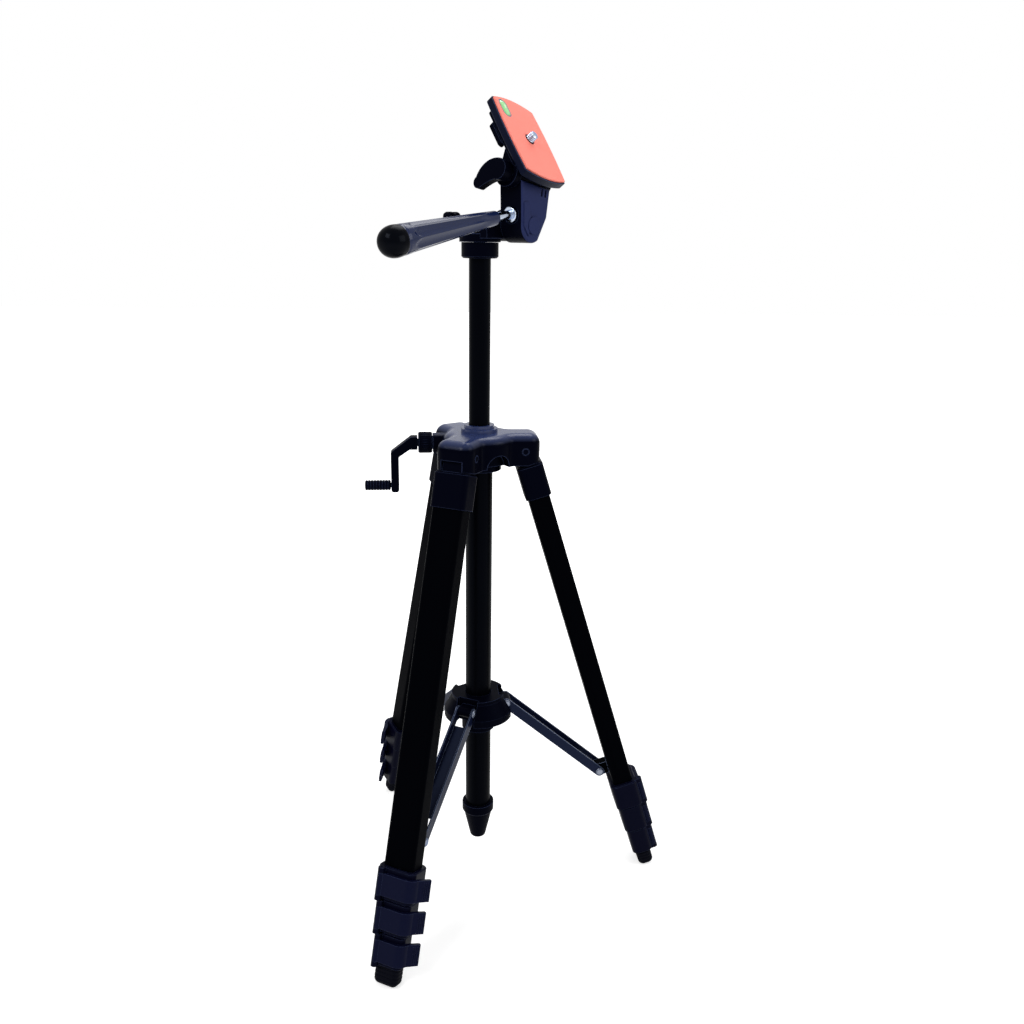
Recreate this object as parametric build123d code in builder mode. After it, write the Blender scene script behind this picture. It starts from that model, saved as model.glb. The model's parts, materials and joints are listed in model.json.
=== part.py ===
"""Compact four-section tripod with a crank column and a three-way head, built in millimetres.

+Z is up and the floor is z = 0. Every place is worked out from the column axis, and the row origin
is the middle of the model's footprint, so the axis itself stands a little to one side of it.
Each leg is laid out by its distance down the leg's centre line from the apex, the point on the
column axis where the three centre lines would meet.
"""

from build123d import *
import os
from math import atan2, cos, degrees, hypot, pi, radians, sin, sqrt, tan

os.makedirs("parts", exist_ok=True)

# ---------------------------------------------------------------- driving dimensions, overall
AXIS_X = -30.7  # column axis, seen from the middle of the footprint
AXIS_Y = 3.7
APEX_HEIGHT = 490.0  # where the leg centre lines would meet
LEG_SPLAY = 17.06  # degrees between a set-up leg and the column
LEG_AZIMUTHS = (243.6, 3.6, 123.6)  # front, right and rear-left legs, degrees from +X
SLIDING_GAP = 0.3  # all round a section inside its clamp

# ---------------------------------------------------------------- driving dimensions, legs
SECTION_WIDTHS = (25.0, 22.0, 19.0, 16.0)  # across the leg, outermost section first
SECTION_DEPTHS = (17.0, 14.4, 11.8, 9.2)  # outer face to inner face
SECTION_WALL = 1.0
SECTION_CORNER = 3.0
SECTION_TOPS = (130.0, 165.0, 172.0, 179.0)  # distance of each section's upper end
CLAMP_LENGTH = 24.0
CLAMP_GAP = 0.8  # between stowed clamps
CLAMP_WALL = 3.0
CLAMP_GRIP = 13.0  # length of the section above held in its clamp
LEVER_LENGTH = 16.0  # along the leg
LEVER_THICKNESS = 2.8
LEVER_FLARE = 6.5  # how far the lever tip flares past its own side bar
LEVER_TIP_REACH = 7.0  # of the tip, back along the clamp's side
LEVER_TIP_THICKNESS = 2.0
LEVER_GAP = 0.4
LEVER_PIN_RADIUS = 1.2
LEVER_BARREL_RADIUS = 2.6
HINGE_SINK = 0.6  # of the barrel into the clamp's face
HINGE_INSET = 2.5  # of the barrel from the clamp's side
FOOT_LENGTH = 14.73
FOOT_WALL = 2.0
FOOT_ROUNDING = 4.6

# ---------------------------------------------------------------- driving dimensions, crown
KNUCKLE_PIVOT = 117.2  # distance of the leg pivot
KNUCKLE_TOP = 129.0
KNUCKLE_BOTTOM = 155.7
KNUCKLE_WALL = 1.8
TONGUE_WIDTH = 16.0
TONGUE_EYE_RADIUS = 7.5
PIVOT_PIN_RADIUS = 2.5
PIN_GAP = 0.1  # radial clearance of every turning pin
CHEEK_GAP = 0.5  # each side of a tongue
CROWN_BOTTOM = APEX_HEIGHT - 123.1
CROWN_TOP = CROWN_BOTTOM + 24.1
CROWN_RADIUS = 28.0  # body between the arms
ARM_REACH = 46.0
ARM_WIDTH = 30.0
ARM_CORNER = 9.0
ARM_SHOULDER = 8.0  # rounding over the top edges
ARM_INNER_CORNER = 6.0
ARM_END_WALL = 3.2
ARM_SLOT_START = 24.0
CROWN_ROOF = 4.5  # over a leg tongue
HOOD_BOTTOM = CROWN_BOTTOM + 10.1  # of the wall that closes an arm's end
COLLAR_RING_TOP = CROWN_TOP + 4.0
SOCKET_BOTTOM = CROWN_BOTTOM - 4.9
ARCH_RADIUS = 10.0

# ---------------------------------------------------------------- driving dimensions, column
COLUMN_RADIUS = 8.0
COLUMN_BORE = COLUMN_RADIUS - 2.8
COLUMN_TOP = 528.0
COLUMN_BOTTOM = 231.0
COLUMN_GAP = 0.15
GEAR_MODULE = 0.8
PINION_TEETH = 10
PRESSURE_ANGLE = 25.0
ADDENDUM_SHARE = 0.8  # of the module
DEDENDUM_SHARE = 1.05
TOOTH_BACKLASH = 0.12
RACK_WIDTH = 4.0
RACK_BOTTOM = COLUMN_BOTTOM + 19.0
RACK_TOP = COLUMN_TOP - 16.0
RACK_SEAT = COLUMN_RADIUS - 0.4  # flat on the column that the teeth stand on
PINION_WIDTH = 10.0
GUIDE_TUBE_BORE = COLUMN_RADIUS + 1.6  # room for the rack's teeth
GUIDE_TUBE_RADIUS = GUIDE_TUBE_BORE + 0.8
GUIDE_TUBE_TOP = SOCKET_BOTTOM + 11.0
GUIDE_TUBE_BOTTOM = 60.0
SOCKET_RADIUS = GUIDE_TUBE_RADIUS + 6.6
COLLAR_RING_RADIUS = COLUMN_RADIUS + 6.0
STOP_RING_RADIUS = GUIDE_TUBE_RADIUS + 2.9
STOP_RING_BOTTOM = GUIDE_TUBE_BOTTOM + 1.0
STOP_RING_TOP = STOP_RING_BOTTOM + 7.0
END_CAP_BOTTOM = GUIDE_TUBE_BOTTOM - 25.5
END_CAP_TIP_RADIUS = 6.3
END_CAP_WALL = 1.6

# ---------------------------------------------------------------- driving dimensions, crank
CRANK_AZIMUTH = 183.6
CRANK_HEIGHT = CROWN_BOTTOM + 13.1
CRANK_RADIUS = 34.0
CRANK_SHAFT_RADIUS = 3.0
BOSS_RADIUS = 7.4
BOSS_END = 35.5
BUSH_RADIUS = 5.2
BUSH_END = 46.5
LOCK_RING_RADIUS = 8.2
LOCK_RING_LENGTH = 10.8
CRANK_ARM_START = 47.3
CRANK_ARM_KNEE = 62.0
CRANK_ARM_THICKNESS = 6.0
CRANK_ARM_WIDTH = 8.0
CRANK_GRIP_RADIUS = 4.0
CRANK_GRIP_LENGTH = 20.0
GRIP_PIN_RADIUS = 1.8

# ---------------------------------------------------------------- driving dimensions, brace
HUB_PIVOT_RADIUS = 23.0
HUB_PIVOT_HEIGHT = 163.0
HUB_BOTTOM = HUB_PIVOT_HEIGHT - 23.0
HUB_TOP = HUB_PIVOT_HEIGHT + 9.0
HUB_SLEEVE_RADIUS = GUIDE_TUBE_RADIUS + 3.1
HUB_SKIRT_RADIUS = 28.0
HUB_PLATE_RADIUS = 22.0
HUB_SKIRT_BOTTOM = HUB_PIVOT_HEIGHT - 11.0
HUB_GAP = 0.3
BRACE_LUG_GAP = 14.6  # between the lug's pin and the first clamp
BRACE_LUG_OFFSET = 16.5  # in from the leg's centre line
BRACE_LUG_WIDTH = 8.0
STRUT_WIDTH = 15.0
STRUT_DEPTH = 8.0
STRUT_WALL = 1.2
RIVET_RADIUS = 1.6
RIVET_HEAD_RADIUS = 3.0
RIVET_HEAD_HEIGHT = 1.0

# ---------------------------------------------------------------- driving dimensions, head
PAN_AZIMUTH = 47.5  # where the head looks, degrees from +X
SOCKET_COLLAR_RADIUS = COLUMN_RADIUS + 5.5
SOCKET_COLLAR_BOTTOM = COLUMN_TOP - 9.0
SOCKET_COLLAR_TOP = COLUMN_TOP + 2.0
SPINDLE_RADIUS = 4.0
SPINDLE_TOP = SOCKET_COLLAR_TOP + 11.0
PAN_GAP = 0.3
PAN_DISC_RADIUS = 15.0
PAN_DISC_TOP = SOCKET_COLLAR_TOP + 6.0
PAN_BLOCK_TOP = PAN_DISC_TOP + 12.0
PAN_BLOCK_LEFT = 12.0  # away from the tilt body
PAN_BLOCK_REAR = 11.0
PAN_BLOCK_ROUNDING = 1.5
TILT_AXIS_FORWARD = 15.0
TILT_AXIS_HEIGHT = PAN_DISC_TOP + 6.0
TILT_EAR_RADIUS = 11.0
TILT_EAR_INNER = 8.0  # faces of the ear, sideways from the column axis
TILT_EAR_OUTER = 16.6
TILT_SIDE_GAP = 0.4
TILT_PIN_RADIUS = 3.0
TILT_BODY_WIDTH = 20.0
TILT_BARREL_RADIUS = 12.0
TILT_ANGLE = -9.5  # degrees, nose down
PAN_KNOB_HEIGHT = PAN_DISC_TOP + 7.0
PAN_KNOB_RADIUS = 9.0
PAN_KNOB_START = 24.0
PAN_KNOB_LENGTH = 9.0
PAN_KNOB_STEM_RADIUS = 3.0
PAN_KNOB_LOBES = 6

# ---------------------------------------------------------------- driving dimensions, platform
FLIP_AXIS_SIDE = 27.0  # sideways from the column axis
FLIP_AXIS_HEIGHT = TILT_AXIS_HEIGHT + 34.7  # straight above the line across the column axis
FLIP_ANGLE = 52.0  # degrees, leaning to the side
FLIP_BARREL_RADIUS = 7.5
BLOCK_REAR = 3.0  # tilt body along the flip axis
BLOCK_FRONT = 35.0
BLOCK_TOP = -4.2  # below the flip axis
BLOCK_NOSE = -24.0
BLOCK_NOSE_ROUNDING = 5.0
BLOCK_EDGE_ROUNDING = 1.6
EAR_GAP = 0.4
REAR_EAR_RADIUS = 9.8
REAR_EAR_THICKNESS = 5.6
FRONT_EAR_THICKNESS = 3.4
FLIP_PIN_RADIUS = 2.5
TRAY_BOTTOM = 8.0
TRAY_TOP = 10.2
TRAY_LOW_END = 2.0
PLATE_LENGTH = 63.6
PLATE_WIDTH = 44.0
PLATE_FORWARD = 16.0  # plate centre along the flip axis
PLATE_OFFSET = 19.6  # plate centre up the slope from the flip axis
PLATE_END_BULGE = 3.4
PLATE_SIDE_BULGE = 1.4
PLATE_CORNER = 1.6
PLATE_EDGE = 1.0
PLATE_GAP = 0.2
PLATE_TOP = 16.0
PAD_THICKNESS = 1.2
PAD_INSET = 0.9
SCREW_RADIUS = 3.175  # quarter-inch camera thread
SCREW_NECK_RADIUS = 2.4  # relieved where it runs in the plate
SCREW_HEAD_RADIUS = 7.0
SCREW_HEAD_HEIGHT = 2.0
SCREW_STAND = 5.4  # above the pad
VIAL_RADIUS = 2.3
VIAL_LENGTH = 12.0
VIAL_END_OFFSET = 8.6  # vial centre from the plate's upper end
VIAL_SIDE_OFFSET = 8.4  # vial centre from the plate's rear side
VIAL_FRAME = 1.0
RELEASE_REACH = 14.0
RELEASE_WIDTH = 5.4
RELEASE_THICKNESS = 3.6
RELEASE_PIVOT = 20.0  # up the slope from the flip axis
RELEASE_PIN_RADIUS = 1.5
WING_HUB_RADIUS = 7.0
WING_HUB_LENGTH = 3.0
WING_THICKNESS = 6.0
WING_REACH = 19.6  # of the hooked wing from the knob's axis
WING_DROP = 12.5  # of its tip below the axis

# ---------------------------------------------------------------- driving dimensions, handle
HANDLE_HEIGHT = TILT_AXIS_HEIGHT + 7.5  # where the rod meets the tilt body
HANDLE_DROP = 9.5  # degrees below level
HANDLE_ROD_RADIUS = 3.1
HANDLE_ROD_INSERT = 6.0
HANDLE_RING_RADIUS = 5.4
HANDLE_RING_LENGTH = 2.4
GRIP_START = 17.0
GRIP_END = 124.0
GRIP_START_RADIUS = 4.9
GRIP_END_RADIUS = 10.2
GRIP_DOME = 11.0
GRIP_FLUTES = 8
FLUTE_RADIUS = 2.0
FLUTE_DEPTH = 1.0

# ---------------------------------------------------------------- places worked out from them
splay = radians(LEG_SPLAY)
pan = radians(PAN_AZIMUTH)
tilt = radians(TILT_ANGLE)
flip = radians(FLIP_ANGLE)
UP = Vector(0, 0, 1)
AXIS = Vector(AXIS_X, AXIS_Y, 0)
FORWARD = Vector(cos(pan), sin(pan), 0)
SIDE = Vector(sin(pan), -cos(pan), 0)
LENS = FORWARD * cos(tilt) + UP * sin(tilt)
CREST = UP * cos(tilt) - FORWARD * sin(tilt)
PLATE_NORMAL = CREST * cos(flip) + SIDE * sin(flip)
FLIP_ORIGIN = AXIS + SIDE * FLIP_AXIS_SIDE + UP * FLIP_AXIS_HEIGHT
PINION_RADIUS = GEAR_MODULE * PINION_TEETH / 2
RACK_PITCH = pi * GEAR_MODULE
ADDENDUM = ADDENDUM_SHARE * GEAR_MODULE
DEDENDUM = DEDENDUM_SHARE * GEAR_MODULE
PITCH_LINE = RACK_SEAT + 0.06 + DEDENDUM
CRANK_OFFSET = PITCH_LINE + PINION_RADIUS
HANDLE_AXIS = FORWARD * -cos(radians(HANDLE_DROP)) - UP * sin(radians(HANDLE_DROP))
handle_forward = TILT_AXIS_FORWARD - TILT_BARREL_RADIUS + 0.4
foot_half_depth = SECTION_DEPTHS[3] / 2 + FOOT_WALL
foot_inner = (foot_half_depth - FOOT_ROUNDING) * sin(splay)
foot_end = FOOT_ROUNDING + (APEX_HEIGHT - FOOT_ROUNDING - foot_inner) / cos(splay)
foot_top = foot_end - FOOT_LENGTH


def radial(azimuth):
    """Level unit vector at an azimuth."""
    return Vector(cos(radians(azimuth)), sin(radians(azimuth)), 0)


def column_plane(height):
    """Level plane on the column axis."""
    return Plane(origin=AXIS + UP * height)


def leg_point(azimuth, distance, outward=0.0):
    """Point by distance down a leg's centre line and by offset through its outer face."""
    out = radial(azimuth)
    centre = AXIS + UP * (APEX_HEIGHT - distance * cos(splay)) + out * (distance * sin(splay))
    return centre + (out * cos(splay) + UP * sin(splay)) * outward


def leg_plane(azimuth, distance):
    """Plane across a leg, x through its outer face, y counter-clockwise, z up the leg."""
    out = radial(azimuth)
    return Plane(
        origin=leg_point(azimuth, distance),
        x_dir=out * cos(splay) + UP * sin(splay),
        z_dir=UP * cos(splay) - out * sin(splay),
    )


def leg_side_plane(azimuth, distance, offset=0.0):
    """Plane along a leg, seen from its counter-clockwise side, x outward and y down the leg."""
    out = radial(azimuth)
    across = radial(azimuth + 90)
    return Plane(
        origin=leg_point(azimuth, distance) + across * offset,
        x_dir=out * cos(splay) + UP * sin(splay),
        z_dir=across,
    )


def pan_side_plane(side):
    """Upright plane along the head, x forward and y up, z sideways."""
    return Plane(origin=AXIS + SIDE * side, x_dir=FORWARD, z_dir=SIDE)


def tilt_side_plane(side):
    """The same plane tilted with the head, from the flip axis."""
    return Plane(origin=FLIP_ORIGIN + SIDE * side, x_dir=LENS, z_dir=SIDE)


def flip_cross_plane(along):
    """Plane across the flip axis, x sideways and y up, facing the rear."""
    return Plane(origin=FLIP_ORIGIN + LENS * along, x_dir=SIDE, z_dir=LENS * -1)


def plate_plane(height):
    """Plane of the camera plate, x along the flip axis and y up the slope."""
    return Plane(origin=FLIP_ORIGIN + PLATE_NORMAL * height, x_dir=LENS, z_dir=PLATE_NORMAL)


def handle_plane(distance):
    """Plane across the handle, x sideways, facing the handle's free end."""
    start = AXIS + SIDE * FLIP_AXIS_SIDE + FORWARD * handle_forward + UP * HANDLE_HEIGHT
    return Plane(origin=start + HANDLE_AXIS * distance, x_dir=SIDE, z_dir=HANDLE_AXIS)


def crank_plane(along):
    """Plane across the crank shaft, x away from the column and y down."""
    centre = AXIS + radial(CRANK_AZIMUTH - 90) * CRANK_OFFSET + UP * CRANK_HEIGHT
    out = radial(CRANK_AZIMUTH)
    return Plane(origin=centre + out * along, x_dir=radial(CRANK_AZIMUTH - 90), z_dir=out)


def crank_side_plane(offset=0.0):
    """Upright plane through the crank shaft, x along the shaft and y up."""
    centre = AXIS + radial(CRANK_AZIMUTH - 90) * (CRANK_OFFSET + offset) + UP * CRANK_HEIGHT
    return Plane(origin=centre, x_dir=radial(CRANK_AZIMUTH), z_dir=radial(CRANK_AZIMUTH - 90))


def clamp_top(index):
    """Distance of a stowed clamp's upper end, first clamp index 0."""
    return foot_top - (3 - index) * (CLAMP_LENGTH + CLAMP_GAP)


brace_lug = clamp_top(0) - BRACE_LUG_GAP


def write(piece, label):
    """Labels a finished part and writes its STEP file."""
    piece.label = label
    export_step(piece, f"parts/{label}.step")


# ---------------------------------------------------------------- legs
half_depth = SECTION_DEPTHS[0] / 2
section_ends = [clamp_top(i) + CLAMP_GRIP for i in range(3)] + [foot_end - FOOT_ROUNDING]
lug_inner = -BRACE_LUG_OFFSET - 3.4

for number, azimuth in enumerate(LEG_AZIMUTHS, 1):
    along = Axis(leg_point(azimuth, 0), leg_plane(azimuth, 0).z_dir)
    # Knuckle: a sleeve over the leg's upper end, with a tongue and eye that turn in the crown.
    knuckle_width = SECTION_WIDTHS[0] + 2 * KNUCKLE_WALL
    knuckle_depth = SECTION_DEPTHS[0] + 2 * KNUCKLE_WALL
    with BuildPart() as knuckle:
        with BuildSketch(leg_plane(azimuth, KNUCKLE_TOP)):
            RectangleRounded(knuckle_depth, knuckle_width, SECTION_CORNER + KNUCKLE_WALL)
        extrude(amount=KNUCKLE_TOP - KNUCKLE_BOTTOM)
        chamfer(knuckle.faces().sort_by(along)[-1].edges(), 1.2)
        with BuildSketch(leg_side_plane(azimuth, KNUCKLE_PIVOT, -TONGUE_WIDTH / 2)):
            Circle(TONGUE_EYE_RADIUS)
            with Locations((0, (KNUCKLE_TOP - KNUCKLE_PIVOT + 2) / 2)):
                Rectangle(2 * TONGUE_EYE_RADIUS, KNUCKLE_TOP - KNUCKLE_PIVOT + 2)
        extrude(amount=TONGUE_WIDTH)
        with BuildSketch(leg_side_plane(azimuth, KNUCKLE_PIVOT, -ARM_WIDTH / 2)):
            Circle(PIVOT_PIN_RADIUS)
        extrude(amount=ARM_WIDTH)
        with BuildSketch(leg_plane(azimuth, SECTION_TOPS[0])):
            RectangleRounded(SECTION_DEPTHS[0], SECTION_WIDTHS[0], SECTION_CORNER)
        extrude(amount=SECTION_TOPS[0] - KNUCKLE_BOTTOM - 1, mode=Mode.SUBTRACT)
    write(knuckle.part, f"leg_{number}_knuckle")

    # Sections: rounded-corner tubes, one inside the next; the outermost carries the brace lug.
    for i in range(4):
        width, depth = SECTION_WIDTHS[i], SECTION_DEPTHS[i]
        with BuildPart() as section:
            with BuildSketch(leg_plane(azimuth, SECTION_TOPS[i])):
                RectangleRounded(depth, width, SECTION_CORNER)
                RectangleRounded(
                    depth - 2 * SECTION_WALL,
                    width - 2 * SECTION_WALL,
                    SECTION_CORNER - SECTION_WALL,
                    mode=Mode.SUBTRACT,
                )
            extrude(amount=SECTION_TOPS[i] - section_ends[i])
            if i == 0:
                with BuildSketch(leg_side_plane(azimuth, brace_lug, -BRACE_LUG_WIDTH / 2)):
                    with Locations((lug_inner / 2 - half_depth / 2 + 0.1, 0)):
                        RectangleRounded(-lug_inner - half_depth + 0.2, 11, 2.5)
                    with Locations((-half_depth - 1.2, 0)):
                        Rectangle(2.4, 11)
                extrude(amount=BRACE_LUG_WIDTH)
        write(section.part, f"leg_{number}_tube_{i + 1}")

    # Clamps: each holds the end of one section and grips the next; a lever is hinged on its face.
    for i in range(3):
        width, depth = SECTION_WIDTHS[i], SECTION_DEPTHS[i]
        top = clamp_top(i)
        shell_width = width + 2 * CLAMP_WALL
        shell_depth = depth + 2 * CLAMP_WALL
        clamp_corner = SECTION_CORNER + CLAMP_WALL - 1
        hinge_x = shell_depth / 2 + LEVER_BARREL_RADIUS - HINGE_SINK
        hinge_y = -shell_width / 2 + LEVER_BARREL_RADIUS + HINGE_INSET
        ear = (CLAMP_LENGTH - LEVER_LENGTH) / 2
        front = shell_depth / 2
        side = shell_width / 2
        with BuildPart() as clamp:
            with BuildSketch(leg_plane(azimuth, top)):
                RectangleRounded(shell_depth, shell_width, clamp_corner)
            extrude(amount=-CLAMP_LENGTH)
            chamfer(clamp.edges().group_by(along)[-1], 0.8)
            chamfer(clamp.edges().group_by(along)[0], 0.8)
            with BuildSketch(leg_plane(azimuth, top)):
                with Locations((hinge_x, hinge_y)):
                    Circle(LEVER_BARREL_RADIUS)
                with Locations((hinge_x / 2 + 2, hinge_y)):
                    Rectangle(hinge_x - 4, 2 * LEVER_BARREL_RADIUS)
            extrude(amount=-CLAMP_LENGTH)
            with BuildSketch(leg_plane(azimuth, top + ear - LEVER_GAP)):
                with Locations((hinge_x, hinge_y)):
                    Circle(LEVER_BARREL_RADIUS + LEVER_GAP)
                with Locations((front + shell_depth / 2, hinge_y)):
                    Rectangle(shell_depth, 2 * LEVER_BARREL_RADIUS + 1)
            extrude(amount=-(LEVER_LENGTH + 2 * LEVER_GAP), mode=Mode.SUBTRACT)
            with BuildSketch(leg_plane(azimuth, top)):
                with Locations((hinge_x, hinge_y)):
                    Circle(LEVER_PIN_RADIUS + PIN_GAP)
            extrude(amount=-CLAMP_LENGTH, mode=Mode.SUBTRACT)
            with BuildSketch(leg_plane(azimuth, top)):
                RectangleRounded(depth, width, SECTION_CORNER)
            extrude(amount=-CLAMP_GRIP, mode=Mode.SUBTRACT)
            with BuildSketch(leg_plane(azimuth, top)):
                RectangleRounded(
                    SECTION_DEPTHS[i + 1] + 2 * SLIDING_GAP,
                    SECTION_WIDTHS[i + 1] + 2 * SLIDING_GAP,
                    SECTION_CORNER + SLIDING_GAP,
                )
            extrude(amount=-CLAMP_LENGTH, mode=Mode.SUBTRACT)
        write(clamp.part, f"leg_{number}_clamp_{i + 1}")

        # Lever: a bar across the clamp's face that wraps its corner and flares to a finger tip.
        corner_x, corner_y = front - clamp_corner, side - clamp_corner
        inner = clamp_corner + LEVER_GAP
        outer = inner + LEVER_THICKNESS
        tip_x, tip_y = corner_x - LEVER_TIP_REACH, corner_y + outer + LEVER_FLARE
        with BuildPart() as lever:
            with BuildSketch(leg_plane(azimuth, top + ear)):
                with BuildLine():
                    Line((corner_x + inner, hinge_y), (corner_x + inner, corner_y))
                    RadiusArc((corner_x + inner, corner_y), (corner_x, corner_y + inner), -inner)
                    Line((corner_x, corner_y + inner), (tip_x, tip_y - LEVER_TIP_THICKNESS))
                    Line((tip_x, tip_y - LEVER_TIP_THICKNESS), (tip_x + 1.5, tip_y))
                    Line((tip_x + 1.5, tip_y), (corner_x + 2, corner_y + outer))
                    ThreePointArc(
                        (corner_x + 2, corner_y + outer),
                        (corner_x + outer * 0.74, corner_y + outer * 0.7),
                        (corner_x + outer, corner_y),
                    )
                    Line((corner_x + outer, corner_y), (corner_x + outer, hinge_y))
                    Line((corner_x + outer, hinge_y), (corner_x + inner, hinge_y))
                make_face()
                with Locations((hinge_x, hinge_y)):
                    Circle(LEVER_BARREL_RADIUS)
            extrude(amount=-LEVER_LENGTH)
            with BuildSketch(leg_plane(azimuth, top + 0.6)):
                with Locations((hinge_x, hinge_y)):
                    Circle(LEVER_PIN_RADIUS)
            extrude(amount=-(CLAMP_LENGTH - 1.2))
        write(lever.part, f"leg_{number}_lever_{i + 1}")

    # Foot: a rubber shoe with a rounded end that just meets the floor.
    with BuildPart() as foot:
        with BuildSketch(leg_plane(azimuth, foot_top)):
            RectangleRounded(2 * foot_half_depth, SECTION_WIDTHS[3] + 2 * FOOT_WALL, FOOT_ROUNDING)
        extrude(amount=foot_top - foot_end)
        fillet(foot.edges().group_by(along)[0], FOOT_ROUNDING - 0.01)
        with BuildSketch(leg_plane(azimuth, foot_top)):
            RectangleRounded(SECTION_DEPTHS[3], SECTION_WIDTHS[3], SECTION_CORNER)
        extrude(amount=foot_top - section_ends[3], mode=Mode.SUBTRACT)
    write(foot.part, f"leg_{number}_foot")

    # Strut: a channel from the hub to the leg's lug, open upwards, riveted at both ends.
    hub_pin = AXIS + radial(azimuth) * HUB_PIVOT_RADIUS + UP * HUB_PIVOT_HEIGHT
    lug_pin = leg_point(azimuth, brace_lug, -BRACE_LUG_OFFSET)
    strut_length = (lug_pin - hub_pin).length
    strut_side = Plane(origin=hub_pin, x_dir=lug_pin - hub_pin, z_dir=radial(azimuth + 90))
    inner_width = STRUT_WIDTH - 2 * STRUT_WALL
    web = STRUT_DEPTH / 2 - STRUT_WALL
    with BuildPart() as strut:
        with BuildSketch(strut_side.offset(-STRUT_WIDTH / 2)):
            with Locations((strut_length / 2, 0)):
                SlotCenterToCenter(strut_length, STRUT_DEPTH)
        extrude(amount=STRUT_WIDTH)
        with BuildSketch(strut_side.offset(-inner_width / 2)):
            with Locations((strut_length / 2, web - STRUT_DEPTH)):
                Rectangle(2 * strut_length, 2 * STRUT_DEPTH)
            with Locations((0, 0)):
                Rectangle(24, 3 * STRUT_DEPTH)
            with Locations((strut_length, 0)):
                Rectangle(36, 3 * STRUT_DEPTH)
        extrude(amount=inner_width, mode=Mode.SUBTRACT)
        head = STRUT_WIDTH / 2 + RIVET_HEAD_HEIGHT
        with BuildSketch(strut_side.offset(-head)):
            Circle(RIVET_RADIUS)
        extrude(amount=2 * head)
        for across in (-head, STRUT_WIDTH / 2):
            with BuildSketch(strut_side.offset(across)):
                with Locations((0, 0), (strut_length, 0)):
                    Circle(RIVET_HEAD_RADIUS)
            extrude(amount=RIVET_HEAD_HEIGHT)
    write(strut.part, f"leg_{number}_strut")

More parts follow.
